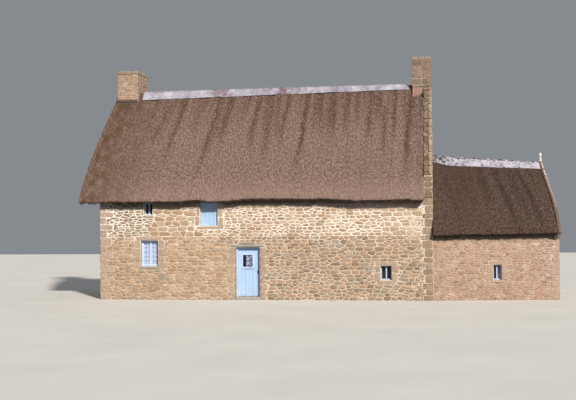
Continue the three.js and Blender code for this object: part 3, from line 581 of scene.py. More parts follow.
def trimmed(shape, keep_out):
    """The polygon cut back from each blocked rectangle on the side that loses least."""
    for a0, a1, b0, b1 in keep_out:
        if shape:
            us, zs = zip(*shape)
            if min(us) < a1 and max(us) > a0 and min(zs) < b1 and max(zs) > b0:
                cuts = [(max(us) - a0, 1, 0, a0), (a1 - min(us), -1, 0, -a1), (max(zs) - b0, 0, 1, b0),
                        (b1 - min(zs), 0, -1, -b1)]
                shape = cut_by(shape, *min(cuts)[1:])
    return shape


def drawn_in(shape, gap):
    """The polygon with each side moved inward by the gap."""
    for (p, q), (r, s) in zip(shape, shape[1:] + shape[:1]):
        long = math.hypot(r - p, s - q)
        if long > 1e-4:
            a, b = (s - q) / long, -(r - p) / long
            shape = cut_by(shape, a, b, a * p + b * q - gap)
    return shape


def blunted(shape, most):
    """The polygon with each corner cut off, by at most that length."""
    soft = []
    for k, (p, q) in enumerate(shape):
        for r, s in (shape[k - 1], shape[(k + 1) % len(shape)]):
            share = min(0.26, most / max(1e-6, math.hypot(r - p, s - q)))
            soft.append((p + (r - p) * share, q + (s - q) * share))
    return soft


# %% Little stones for bare spots


def fill_gaps(pick, stones, box, zones, keep_out, edges, step=0.02, joint=0.011):
    """Flat little stones for the bare spots left beside dressed blocks, found on a raster of the wall."""
    us, zs = np.arange(box[0] + step / 2, box[1], step), np.arange(box[2] + step / 2, box[3], step)
    taken = np.zeros((len(zs), len(us)), dtype=bool)
    for shape, _, _ in stones:
        corners = np.array(shape)
        (u0, z0), (u1, z1) = corners.min(axis=0) - joint, corners.max(axis=0) + joint
        (i0, i1), (j0, j1) = np.searchsorted(us, (u0, u1)), np.searchsorted(zs, (z0, z1))
        inside = np.ones((j1 - j0, i1 - i0), dtype=bool)
        for (p, q), (r, s) in zip(corners, np.roll(corners, -1, axis=0)):
            side = (r - p) * (zs[j0:j1, None] - q) - (s - q) * (us[None, i0:i1] - p)
            inside &= side > -joint * math.hypot(r - p, s - q)
        taken[j0:j1, i0:i1] |= inside
    for a0, a1, b0, b1 in keep_out:
        level = (zs > b0 - joint) & (zs < b1 + joint)
        taken |= level[:, None] & ((us > a0 - joint) & (us < a1 + joint))[None, :]
    for a, b, c in edges:
        taken |= a * us[None, :] + b * zs[:, None] > c - 2 * joint
    for j, i in np.argwhere(~taken):
        row = taken[j, i:i + pick.randint(7, 15)]
        long = int(row.argmax()) if row.any() else len(row)
        if long < 4:
            continue
        tall, most = 1, pick.randint(4, 7)
        while tall < most and j + tall < len(zs) and not taken[j + tall, i:i + long].any():
            tall += 1
        if tall < 3:
            continue
        taken[j:j + tall, i:i + long] = True
        p0, q0 = us[i] - step / 2 + 0.005, zs[j] - step / 2 + 0.005
        p1, q1 = p0 + long * step - 0.010, q0 + tall * step - 0.010
        a, b, c, d = (tall * step * pick.uniform(0.15, 0.38) for _ in range(4))
        shape = [(p0 + a, q0), (p1 - b, q0), (p1, q0 + b), (p1, q1 - c),
                 (p1 - c, q1), (p0 + d, q1), (p0, q1 - d), (p0, q0 + a)]
        tints = next((z[7:9] for z in zones if z[0] <= p0 <= z[1]), zones[0][7:9])
        stones.append((shape, pick.uniform(*tints), pick.uniform(0.5, 1.2)))
    return stones


# %% All the polygons of a wall


def polygons(seed, zones, keep_out=(), edges=()):
    """Polygon, tint and stand-out of each stone; edges are further half planes that bound the wall."""
    pick = random.Random(seed)
    seeds = [s for zone in zones for s in scatter(pick, zone)]
    bins = {}
    for s in seeds:
        bins.setdefault((s[0] // 0.8, s[1] // 0.5), []).append(s)
    u0, z0 = min(z[0] for z in zones), min(z[2] for z in zones)
    u1, z1 = max(z[1] for z in zones), max(z[3] for z in zones)
    stones = []
    for u, z, row, stretch, joint, *tints in seeds:
        wide = row * stretch * 1.5
        left, right_end = max(u0, u - wide), min(u1, u + wide)
        low, high = max(z0, z - row * 1.3), min(z1, z + row * 1.3)
        shape = [(left, low), (right_end, low), (right_end, high), (left, high)]
        i, j = u // 0.8, z // 0.5
        near = [s for di in (-1, 0, 1) for dj in (-1, 0, 1) for s in bins.get((i + di, j + dj), ())]
        for p, q, *_ in near:
            du, dz = (p - u) / 2.3, q - z
            if (du or dz) and abs(du) * 2.3 < 2.2 * wide and abs(dz) < 3 * row:
                a, b = du / 2.3, dz
                shape = cut_by(shape, a, b, a * (u + p) / 2 + b * (z + q) / 2)
        for edge in edges:
            shape = cut_by(shape, *edge)
        shape = drawn_in(trimmed(shape, keep_out), joint / 2 * pick.uniform(0.6, 1.5))
        if shape:
            shape = blunted(shape, 0.17 * row)
            area = sum(a[0] * b[1] - b[0] * a[1] for a, b in zip(shape, shape[1:] + shape[:1])) / 2
            tall = max(q for p, q in shape) - min(q for p, q in shape)
            if area > 0.0008 and tall > 0.022:
                stones.append((shape, pick.uniform(*tints), pick.uniform(0.5, 1.3)))
    return fill_gaps(pick, stones, (u0, u1, z0, z1), zones, keep_out, edges)


# %% Raising them


def rubble(name, stones, wall, finish, seed, proud=0.022, depth=0.045):
    """Lays the polygons on the wall as one flat sheet and lets the tree raise them."""
    verts, faces = [], []
    for shape, _, _ in stones:
        faces.append(tuple(range(len(verts), len(verts) + len(shape))))
        verts += [(u, depth, z) for u, z in shape]
    sheet = put(name, verts, faces)
    store(sheet, "FACE", tint=[s[1] for s in stones], proud=[s[2] for s in stones])
    run_tree(sheet, RAISING, Depth=depth, Proud=proud, Finish=finish, Wander=0.024, Wander_size=4.0,
             Roughness=0.012, Offset=float(seed * 7))
    sheet.data.transform(wall)
    settle(sheet)
    keep(sheet, name)


# %% [markdown]
# Corners and openings are dressed: bigger squared blocks, long and short in turn, bind the loose rubble.
# They are laid first and the rubble is trimmed to them.

# %% Dressed blocks


def corner_blocks(seed, edge, inward, z0, z1, tall=(0.20, 0.34), long=(0.34, 0.56), short=(0.2, 0.3),
                  over=0.0):
    """Dressed blocks up a corner, long and short in turn; inward is 1 where the wall lies to the right."""
    pick = random.Random(seed)
    cells, z, turn = [], z0, pick.random() < 0.5
    while z < z1 - 0.03:
        high = min(pick.uniform(*tall), z1 - z)
        if z1 - z - high < tall[0] * 0.6:
            high = z1 - z
        wide = pick.uniform(*(long if turn else short))
        cells.append((*sorted((edge - inward * over, edge + inward * wide)), z, z + high))
        turn = not turn
        z += high
    return cells


def both_corners(seed, left, right_end, top):
    return (corner_blocks(seed, left, 1, 0.0, top, over=0.012)
            + corner_blocks(seed + 1, right_end, -1, 0.0, top, over=0.012))


def jamb(edge, ends, levels):
    """Blocks one above the other between the levels, each from the edge of an opening out to its own end."""
    return [(*sorted((edge, end)), *sorted(pair)) for end, pair in zip(ends, zip(levels, levels[1:]))]


def seat(angle, x, y):
    """Where a wall drawn along X, facing -Y, stands: turned about Z, then moved."""
    return Matrix.Translation((x, y, 0)) @ Matrix.Rotation(angle, 4, "Z")


# %% [markdown]
# Big dressed blocks frame each opening of the front, thin granite slabs lie over the door, and squared
# quoins climb the corners. The rubble changes along the wall, as on old houses that were patched: thin dark
# stones in broad white joints at the upper left, large pale blocks between the upper openings, small rows
# beside them, and rougher, closer stones below. Each zone has its own row height, stretch, joint and tints.

# %% Front wall
front, back = seat(0, 0, -HALF_DEEP), seat(math.pi, 0, HALF_DEEP)
openings = [(-4.65, -4.30, 3.26, 3.74), (-4.77, -4.08, 1.28, 2.28), (-2.42, -1.72, 2.83, 3.75),
            (-1.015, -0.096, 0.0, 2.001), (4.47, 4.89, 0.76, 1.30)]
squared = corner_blocks(3, -HALF_LONG, 1, 0.0, WALL_TOP, over=0.012)
squared += jamb(-4.78, (-5.02, -5.10, -5.00, -5.08), (2.30, 1.98, 1.70, 1.44, 1.22))
squared += jamb(-4.07, (-3.82, -3.74, -3.84, -3.72), (2.30, 1.96, 1.68, 1.42, 1.22))
squared += [(-4.98, -3.92, 2.29, 2.45), (-4.70, -4.22, 3.13, 3.25)]
squared += jamb(-1.074, (-1.34, -1.28, -1.36, -1.27, -1.35, -1.28), (0.0, 0.30, 0.66, 0.96, 1.34, 1.62, 2.0))
squared += jamb(-0.036, (0.14, 0.20, 0.12, 0.19, 0.13, 0.17), (0.0, 0.36, 0.62, 0.98, 1.28, 1.66, 2.0))
squared += jamb(-2.43, (-2.62, -2.56), (2.84, 3.20, 3.74)) + jamb(-1.71, (-1.48, -1.52), (2.70, 3.16, 3.72))
squared += [(-2.58, -1.54, 2.70, 2.82)]
squared += jamb(4.46, (4.24, 4.28), (0.72, 1.04, 1.32)) + jamb(4.90, (5.10, 5.16), (0.70, 1.02, 1.32))
squared += [(4.26, 5.12, 1.31, 1.46), (4.32, 5.04, 0.62, 0.745)]
quoins = corner_blocks(4, HALF_LONG, -1, 0.0, WALL_TOP, (0.18, 0.34), (0.32, 0.40), (0.26, 0.30), 0.012)
arris = [(-1.076, -1.018, 0.333 * k, 0.333 * k + 0.332) for k in range(6)]
arris += [(-0.092, -0.034, z, z + 0.284) for z in (0.0, 0.285, 0.570, 0.855, 1.140, 1.425, 1.712)]
slabs = [(-1.24, 0.10, 2.015, 2.115), (-0.90, -0.24, 2.125, 2.195)]
low_blocks = (0.14, 0.24), (0.285, 0.29), (0.28, 0.29), 0.008
back_foot = corner_blocks(2, -HALF_LONG, 1, WALL_TOP, 4.60, *low_blocks)
foot = corner_blocks(2, HALF_LONG, -1, WALL_TOP, 4.60, *low_blocks)
lay("front_dressed_stones", squared, front, DRESSED, 11, proud=0.018)
lay("front_right_quoins", quoins, front, QUOIN, 6, joint=0.014, proud=0.018, rough=0.012)
lay("door_jamb_edges", arris, front, ARRIS, 8, wander=0.006, joint=0.008, proud=0.004, rough=0.006,
    lean=0.006)
lay("door_lintel_slabs", slabs, front, SLAB, 9, wander=0.014, joint=0.010, proud=0.034, rough=0.012,
    lean=0.006)
for label, wall, cells, seed in (("", front, foot, 10), ("back_", back, back_foot, 7)):
    lay(label + "parapet_foot_stones", cells, wall, FOOT_STONE, seed, joint=0.006, proud=0.018, rough=0.012,
        lean=0.02)
voids = openings + squared + quoins + arris + foot + [(-1.24, 0.10, 2.0, 2.12), (-0.90, -0.24, 2.12, 2.20)]
BAND_Z, RUBBLE_TOP = 2.42, 3.84
low_zones = [(-6.4, -4.0, 0.0, BAND_Z, 0.125, 2.1, 0.020, 0.15, 0.75),
             (-4.0, -1.3, 0.0, BAND_Z, 0.120, 2.3, 0.016, 0.30, 0.90),
             (-1.3, 2.2, 0.0, BAND_Z, 0.125, 1.9, 0.022, 0.02, 0.58),
             (2.2, 6.4, 0.0, BAND_Z, 0.145, 1.9, 0.020, 0.02, 0.58)]
high_zones = [(-6.4, -4.5, BAND_Z, RUBBLE_TOP, 0.098, 2.5, 0.028, 0.0, 0.30),
              (-4.5, -2.3, BAND_Z, RUBBLE_TOP, 0.200, 1.8, 0.018, 0.42, 0.86),
              (-2.3, 2.4, BAND_Z, RUBBLE_TOP, 0.122, 2.1, 0.030, 0.30, 0.95),
              (2.4, 4.5, BAND_Z, RUBBLE_TOP, 0.125, 2.1, 0.034, 0.45, 1.0),
              (4.5, 6.4, BAND_Z, RUBBLE_TOP, 0.170, 1.9, 0.022, 0.60, 1.0)]
rubble("front_lower_rubble", polygons(21, low_zones, voids), front, STONE, 12)
rubble("front_upper_rubble", polygons(22, high_zones, voids), front, STONE, 13)

# %% [markdown]
# The back repeats the front's stones round two plain windows. Each gable narrows with the roof, so its
# stones are also cut by two slanting lines: on the left they stop under the thatch, and on the right they
# rise past it.

# %% Back wall and gables
squared = both_corners(5, -HALF_LONG, HALF_LONG, WALL_TOP)
squared += corner_blocks(7, -1.81, -1, 1.05, 1.95) + corner_blocks(8, -1.19, 1, 1.05, 1.95)
squared += [(-2.05, -0.95, 1.91, 2.09), (-2.0, -1.0, 0.93, 1.09)]
squared += corner_blocks(9, 2.74, -1, 3.05, 3.62) + corner_blocks(10, 3.21, 1, 3.05, 3.62)
squared.append((2.5, 3.45, 2.94, 3.09))
lay("back_dressed_stones", squared, back, DRESSED, 14)
voids = [(-1.80, -1.20, 1.10, 1.90), (2.75, 3.20, 3.10, 3.60)] + squared
zones = [(-6.4, 6.4, 0.0, 2.4, 0.140, 2.1, 0.018, 0.2, 0.9),
         (-6.4, 6.4, 2.4, RUBBLE_TOP, 0.126, 2.2, 0.030, 0.1, 0.8)]
rubble("back_rubble", polygons(23, zones, voids), back, STONE, 15)


def gable(label, wall, corner_top, voids, top, apex, seeds, extra=()):
    """Corner blocks and rubble of a gable; apex is the height where its two slanting lines meet."""
    squared = both_corners(seeds[0], -HALF_DEEP, HALF_DEEP, corner_top)
    lay(label + "_gable_dressed_stones", squared, wall, DRESSED, seeds[1])
    zone = (-HALF_DEEP, HALF_DEEP, 0.0, top, 0.124, 2.1, 0.020, 0.1, 0.9)
    field = polygons(seeds[2], [zone], squared + voids, [(SLOPE, 1.0, apex), (-SLOPE, 1.0, apex)])
    rubble(label + "_gable_rubble", field + list(extra), wall, STONE_HIGH, seeds[3])


purlins_and_stack = [(-1.39, -1.10, 5.58, 5.86), (1.10, 1.39, 5.58, 5.86), (-1.11, 0.31, 7.29, 9.0)]
stack_and_wing = [(-0.25, 0.98, 6.90, 9.0), (-1.9, 1.6, 0.0, 2.5), (-1.2, 1.2, 2.5, 3.9),
                  (-0.7, 0.7, 3.9, 4.6)]
stack_side = (-1.106, -0.30, 6.40, 7.28, 0.085, 2.1, 0.016, 0.1, 0.9)
beside_stack = polygons(26, [stack_side], (), [(SLOPE, -1.0, -7.80)])
gable("left", seat(-math.pi / 2, -HALF_LONG, 0), 3.72, purlins_and_stack, 7.7, 7.78, (31, 16, 24, 17),
      beside_stack)
gable("right", seat(math.pi / 2, HALF_LONG, 0), 4.10, stack_and_wing, 8.5, 8.56, (33, 18, 25, 19))

# %% [markdown]
# The wing is built of smaller, flatter stones in thin joints of a darker mortar, so it reads as a finer
# texture. A few bigger blocks stand beside its window, and a pale kneeler closes the gable's foot under the
# eave.

# %% Wing walls
wing_front = Matrix.Translation(WING_AT) @ Matrix.Rotation(WING_TURN, 4, "Z")
squared = corner_blocks(41, WING_LONG, -1, 0.0, 2.14, (0.16, 0.28), (0.26, 0.4), (0.16, 0.24), 0.012)
squared += jamb(2.22, (1.92, 1.98), (0.72, 1.00, 1.33)) + jamb(2.55, (2.78, 2.72), (0.74, 1.08, 1.33))
squared += [(2.06, 2.74, 1.32, 1.46), (2.12, 2.68, 0.64, 0.74)]
lay("wing_dressed_stones", squared, wing_front, WING_DRESSED, 42)
lay("wing_kneeler", [(4.50, 4.665, 2.20, 2.40)], wing_front, PALE_BLOCK, 40, wander=0.01, joint=0.008,
    proud=0.03, rough=0.01, lean=0.01, deep=0.05)
zones = [(0.02, WING_LONG, 0.0, WING_WALL_TOP, 0.088, 2.3, 0.013, 0.0, 1.0)]
voids = squared + [(4.50, 4.70, 2.19, 2.42), (2.23, 2.54, 0.75, 1.31)]
rubble("wing_front_rubble", polygons(43, zones, voids), wing_front, WING_STONE, 44, proud=0.016)
wing_back = wing_front @ seat(math.pi, 0, WING_DEEP)
zones = [(-WING_LONG, -0.72, 0.0, WING_WALL_TOP, 0.095, 2.3, 0.013, 0.0, 1.0)]
rubble("wing_back_rubble", polygons(45, zones), wing_back, WING_STONE, 46, proud=0.016)
wing_gable = wing_front @ seat(math.pi / 2, WING_LONG, 0)
squared = both_corners(47, 0.0, WING_DEEP, 2.14)
lay("wing_gable_dressed_stones", squared, wing_gable, WING_DRESSED, 49)
slants = []
outline = ((0.0, WING_RIDGE[1]), (1.87, 3.66), (2.40, 3.03), (2.66, 2.45))
for (y0, z0), (y1, z1) in zip(outline, outline[1:]):
    a, b = z0 - z1, y1 - y0
    reach = a * (y0 - 0.03) + b * z0
    slants += [(a, b, reach + a * WING_MIDDLE), (-a, b, reach - a * WING_MIDDLE)]
voids = squared + [(-0.30, 0.0, -0.1, 2.44), (WING_DEEP, 5.12, -0.1, 2.44)]
zones = [(-0.24, 5.06, 0.0, 5.2, 0.108, 2.2, 0.014, 0.0, 1.0)]
rubble("wing_gable_rubble", polygons(50, zones, voids, slants), wing_gable, WING_STONE_HIGH, 51, proud=0.010)

# %% [markdown]
# The left chimney is faced with thin rough stones and the right one with squared courses. Rough slabs laid
# round the flue crown each, and they stand for the plain solid of the cap. Each face starts at its own foot
# above the thatch.

# %% Chimneys


def stack_faces(x0, x1, y0, y1):
    return [(seat(0, 0, y0), x0, x1), (seat(math.pi, 0, y1), -x1, -x0),
            (seat(math.pi / 2, x1, 0), y0, y1), (seat(-math.pi / 2, x0, 0), -y1, -y0)]


def slab_ring(side, box, flue, z0, z1, seed):
    """Rough slabs laid round a flue: long ones along the front and back, short ones between at the sides."""
    pick = random.Random(seed)
    x0, x1, y0, y1 = box
    fx0, fx1, fy0, fy1 = flue
    cells, stones = [], []
    for a, b in ((y0, fy0), (fy1, y1)):
        cuts = [x0, x0 + (x1 - x0) * pick.uniform(0.3, 0.42), x0 + (x1 - x0) * pick.uniform(0.62, 0.72), x1]
        cells += [(u, v, a, b) for u, v in zip(cuts, cuts[1:])]
    for a, b in ((x0, fx0), (fx1, x1)):
        middle = (fy0 + fy1) / 2 + pick.uniform(-0.08, 0.08)
        cells += [(a, b, fy0, middle), (a, b, middle, fy1)]
    for u0, u1, v0, v1 in cells:
        tall = (z1 - z0 - 0.012) * pick.uniform(0.86, 1.0)
        extent = ((u1 - u0) / 2 - 0.006, tall / 2, (v1 - v0) / 2 - 0.006)
        tilt = (-math.pi / 2 + pick.gauss(0, 0.012), pick.gauss(0, 0.012), 0)
        stones.append((((u0 + u1) / 2, (v0 + v1) / 2, z0 + tall / 2), extent, tilt, pick.uniform(0, 1)))
    name = side + "_crown_slabs"
    slabs_round = lay_copies(name, squared_block, CAPSTONE, stones, 0.02, 5.0, 0.02, seed)
    keep(slabs_round, name, (side + "_chimney_cap",))


# %% Stones of both stacks
for i, (wall, u0, u1) in enumerate(stack_faces(-6.457, -5.607, -0.30, 1.10)):
    zone = (u0 - 0.006, u1 + 0.006, (8.085, 6.40, 6.40, 7.30)[i], 9.15, 0.085, 2.1, 0.016, 0.0, 1.0)
    rubble(f"left_stack_stones_{i + 1}", polygons(60 + i, [zone]), wall, STACK_STONE, 65 + i, proud=0.016)
STACK_FOOT, STACK_TOP = 6.62, 9.345
pick = random.Random(70)
courses = [STACK_FOOT]
while courses[-1] < 9.14:
    courses.append(courses[-1] + pick.uniform(0.19, 0.30))
fit = (STACK_TOP - STACK_FOOT) / (courses[-1] - STACK_FOOT)
courses = [STACK_FOOT + (z - STACK_FOOT) * fit for z in courses]
for i, (wall, u0, u1) in enumerate(stack_faces(5.670, 6.400, -0.233, 0.967)):
    lowest, blocks = (8.29, STACK_FOOT, 6.90, STACK_FOOT)[i], []
    for low, high in zip(courses, courses[1:]):
        cuts = [u0 - 0.006]
        while cuts[-1] < u1 - 0.62:
            cuts.append(cuts[-1] + pick.uniform(0.20, 0.42))
        cuts += [(cuts[-1] + u1) / 2 + pick.uniform(-0.06, 0.06), u1 + 0.006]
        if high > lowest + 0.05:
            blocks += [(a, b, max(low, lowest), high) for a, b in zip(cuts, cuts[1:])]
    lay(f"right_stack_stones_{i + 1}", blocks, wall, ASHLAR, 71 + i, wander=0.012, size=4.0, joint=0.012,
        proud=0.014, rough=0.012, lean=0.01)
slab_ring("left", (-6.497, -5.567, -0.34, 1.14), (-6.247, -5.817, -0.09, 0.89), 9.153, 9.293, 81)
slab_ring("right", (5.650, 6.420, -0.253, 0.987), (5.88, 6.19, -0.023, 0.757), 9.374, 9.493, 82)

# %% [markdown]
# Thatch is reed laid in a thick coat, and rain combs it: furrows run down the slope, dark where they hold
# the wet, darker still under the cement ridge. The coat is a fine grid bent by a few slow waves, and a UV
# map follows the furrows, so the finish can stretch its grain along them even where they lean towards the
# left edge.

# %% Thatch finish


def thatch_finish(name, light, middle, dark, wet, moss):
    """Strands and flecks stretched down the slope, darker under the ridge, in furrows and in moss."""
    recipe = Recipe(name, 1.0)
    flow = recipe.add("ShaderNodeUVMap", uv_map="flow")
    down = recipe.part(flow, "Y")

    def combed(across, along, detail, rough=0.6):
        return recipe.grain(1.0, recipe.stretched((across, along, 1.0), source=flow), detail, rough)

    narrow, strands = combed(4.2, 0.30, 3.0), combed(15.0, 8.0, 4.0, 0.8)
    fibres = combed(42.0, 13.0, 3.0, 0.75)
    recipe.base = recipe.ramp(recipe.range(strands, 0.38, 0.62), [(0.0, dark), (0.42, middle), (1.0, light)])
    recipe.over(recipe.range(fibres, 0.30, 0.55, 0.45, 0.0), dark)
    recipe.over(recipe.range(fibres, 0.58, 0.78, 0.0, 0.45), light)
    recipe.over(recipe.range(combed(0.9, 0.25, 3.0), 0.35, 0.65, 0.0, 0.25), middle)
    recipe.over(recipe.range(down, 4.3, 5.4, 0.0, 0.35), light)
    fingers = recipe.range(narrow, 0.40, 0.60, 0.25, 1.0)
    recipe.over(recipe.combine(recipe.range(down, 0.15, 2.6, 0.74, 0.0), fingers), wet)
    channels = recipe.range(narrow, 0.53, 0.66)
    recipe.over(recipe.combine(channels, recipe.range(down, 1.0, 5.0, 0.42, 0.08)), wet)
    frayed = recipe.range(strands, 0.35, 0.65, 1.0, 0.75)
    recipe.over(recipe.combine(recipe.attribute("wet"), frayed), wet)
    recipe.over(recipe.range(combed(16.0, 12.0, 1.0), 0.58, 0.68, 0.0, 0.75), light)
    patchy = recipe.range(combed(3.0, 2.0, 5.0), 0.38, 0.62)
    recipe.over(recipe.combine(recipe.attribute("moss"), patchy), moss)
    return recipe.finish((fibres, 0.03, 0.8), (strands, 0.05, 0.8))


THATCH = thatch_finish(
    "weathered thatch", (166, 138, 124), (120, 96, 84), (82, 61, 50), (74, 52, 40), (86, 65, 38))
WING_THATCH = thatch_finish(
    "old dark thatch", (118, 92, 79), (69, 51, 42), (40, 28, 22), (42, 29, 23), (80, 54, 36))
STRAW = thatch_finish("cut straw", (178, 148, 126), (126, 100, 84), (70, 52, 42), (60, 46, 36), (98, 84, 50))
print("thatch finishes", THATCH.name, WING_THATCH.name, STRAW.name)

# %% Helpers for thatch


def rising(value, over):
    """A share that grows from 0 to 1 while the value goes from 0 to the given length."""
    return np.clip(value / over, 0, 1)


def waves(u, v, seed, *steps):
    """A slow, repeatable unevenness: a sum of sines with random turns, for arrays u and v in metres."""
    rng = np.random.default_rng(seed)
    total = np.zeros(np.broadcast(u, v).shape)
    for fu, fv, size in steps:
        for _ in range(3):
            a, b, c = rng.uniform(0.7, 1.3), rng.uniform(0.7, 1.3), rng.uniform(0, 2 * np.pi)
            total += size / 3 * np.sin(2 * np.pi * (fu * a * u + fv * b * v) + c)
    return total


def grid_faces(rows, columns):
    return [(a, a + columns, a + columns + 1, a + 1)
            for j in range(rows - 1) for a in range(j * columns, (j + 1) * columns - 1)]


def set_flow(made, flow):
    """Stores one flat point for each vertex as the UV map named flow."""
    corner = read(made.data.loops, "vertex_index", kind=int)
    made.data.uv_layers.new(name="flow").data.foreach_set("uv", flow[corner].ravel())


# %% A closed coat with its furrows


def coat(name, over, under, flow, moss, wet, outward):
    """A closed coat of thatch from two grids of points, over and under, each rows x columns x 3."""
    rows, columns = over.shape[:2]
    count = rows * columns
    faces = []
    for face in grid_faces(rows, columns):
        a, b, c, d = (k + count for k in face)
        faces += [face, (a, d, c, b)]
    rim = [(0, i) for i in range(columns)] + [(j, columns - 1) for j in range(1, rows)]
    rim += [(rows - 1, i) for i in range(columns - 2, -1, -1)] + [(j, 0) for j in range(rows - 2, 0, -1)]
    rim = [j * columns + i for j, i in rim]
    faces += [(a, b, b + count, a + count) for a, b in zip(rim, rim[1:] + rim[:1])]
    if not outward:
        faces = [face[::-1] for face in faces]
    made = put(name, np.concatenate([over.reshape(-1, 3), under.reshape(-1, 3)]), faces)
    sunk = flow.copy()
    sunk[:, :, 0] += 0.35 * np.clip(1 - np.arange(columns) / 20, 0, 1)
    set_flow(made, np.concatenate([flow.reshape(-1, 2), sunk.reshape(-1, 2)]))
    store(made, "POINT", moss=np.tile(moss.ravel(), 2), wet=np.tile(wet.ravel(), 2))
    return made


def carve(made, boxes):
    """Cuts plain boxes out of a closed piece, so that it ends in the stonework and crosses no flue."""
    for low, high in boxes:
        verts = [(low[0] if i & 1 else high[0], low[1] if i & 2 else high[1], low[2] if i & 4 else high[2])
                 for i in range(8)]
        tool = put("tool", verts, [(0, 1, 3, 2), (4, 6, 7, 5), (0, 4, 5, 1), (2, 3, 7, 6), (0, 2, 6, 4),
                                   (1, 5, 7, 3)])
        face_outward(tool)
        cutter = made.modifiers.new("cut", "BOOLEAN")
        cutter.operation, cutter.solver, cutter.object = "DIFFERENCE", "EXACT", tool
        bake(made)
        bpy.data.objects.remove(tool)


def furrow_depth(x, down, furrows, seed):
    """How wet and sunk the thatch is at each point: a soft groove along each furrow, frayed at its ends."""
    total = np.zeros(np.broadcast(x, down).shape)
    frayed = 0.035 * waves(down, x * 0.3, seed, (0.5, 0.2, 1.0), (1.7, 0.6, 0.7))
    for path, width, strength in furrows:
        at = np.interp(down, [p[1] for p in path], [p[0] for p in path])
        top, foot = path[0][1], path[-1][1]
        ends = rising(down - top + 0.35, 0.35) * rising(foot + 0.25 - down, 0.45 * (foot - top))
        total = np.maximum(total, strength * ends * np.exp(-((x - at + frayed) / width) ** 2))
    return total


# %% [markdown]
# The eave of the front rises and falls by a hand's breadth: beside the loft door and over the middle of the
# house it lifts, and it sags near the right end. A short list of stations along the house holds that line.
# The left edge reaches far out at the eave and tucks in at the chimney, so each furrow there starts to lean
# as well. A furrow is a path of places along the house and down the slope, with its width and its strength.
# The underside is a plain slope with a ridge and a reach of its own.

# %% Main thatch
LEFT_TOP, RIGHT_TOP = -6.475, 6.1095
UNDER_RIDGE_Z, UNDER_REACH = 7.801, 2.681
EAVE_LIFT = [(-7.15, 0.06), (-6.06, 0.075), (-4.07, 0.07), (-3.09, 0.06), (-2.46, 0.125), (-1.92, 0.035),
             (-1.22, 0.075), (-0.33, 0.14), (1.53, 0.12), (2.88, 0.085), (3.69, 0.014), (4.83, 0.04),
             (6.2, 0.02)]
LEAN = [(LEFT_TOP, 0.668), (-4.1, 0.70), (-3.3, 0.69), (-2.05, 0.60), (-0.5, 0.36), (1.5, 0.22), (2.8, 0.0),
        (6.2, 0.0)]
FURROWS = [([(-5.30, 0.9), (-5.55, 2.2), (-5.75, 3.3)], 0.14, 0.45),
           ([(-4.30, 1.0), (-4.74, 2.98)], 0.14, 0.65), ([(-2.85, 0.5), (-3.1, 2.0)], 0.13, 0.5),
           ([(-3.60, 0.6), (-4.00, 3.16), (-4.04, 3.8)], 0.11, 0.85),
           ([(-2.10, 0.1), (-2.29, 1.75), (-2.59, 3.98), (-2.73, 4.6)], 0.10, 1.0),
           ([(-1.70, 0.4), (-1.91, 3.28)], 0.12, 0.6), ([(-1.05, 0.3), (-1.2, 2.1)], 0.10, 0.4),
           ([(-0.50, 0.5), (-0.71, 3.16)], 0.12, 0.55),
           ([(0.06, 0.3), (-0.02, 2.47), (-0.08, 3.8)], 0.13, 0.6),
           ([(0.70, 0.2), (0.48, 3.2)], 0.09, 0.8), ([(1.50, 0.1), (1.36, 2.66), (1.13, 4.3)], 0.10, 1.0),
           ([(1.95, 0.2), (1.88, 2.2)], 0.12, 0.5), ([(2.51, 0.3), (2.52, 2.61)], 0.19, 0.65),
           ([(3.10, 0.2), (3.03, 2.4)], 0.10, 0.8), ([(3.54, 0.3), (3.50, 2.0)], 0.09, 0.6),
           ([(4.02, 0.3), (3.95, 2.8)], 0.12, 0.8), ([(4.58, 1.2), (4.54, 3.63)], 0.10, 0.6),
           ([(4.99, 0.1), (4.94, 2.9)], 0.09, 0.9), ([(5.64, 0.4), (5.49, 2.0), (5.37, 4.7)], 0.11, 1.0)]
STACK_HOLES = [((-6.40, -0.25, 7.0), (-5.66, 1.05, 9.1)), ((5.72, -0.18, 7.0), (6.35, 0.92, 9.1))]
print("furrows", len(FURROWS))

# %% Two slopes of thatch


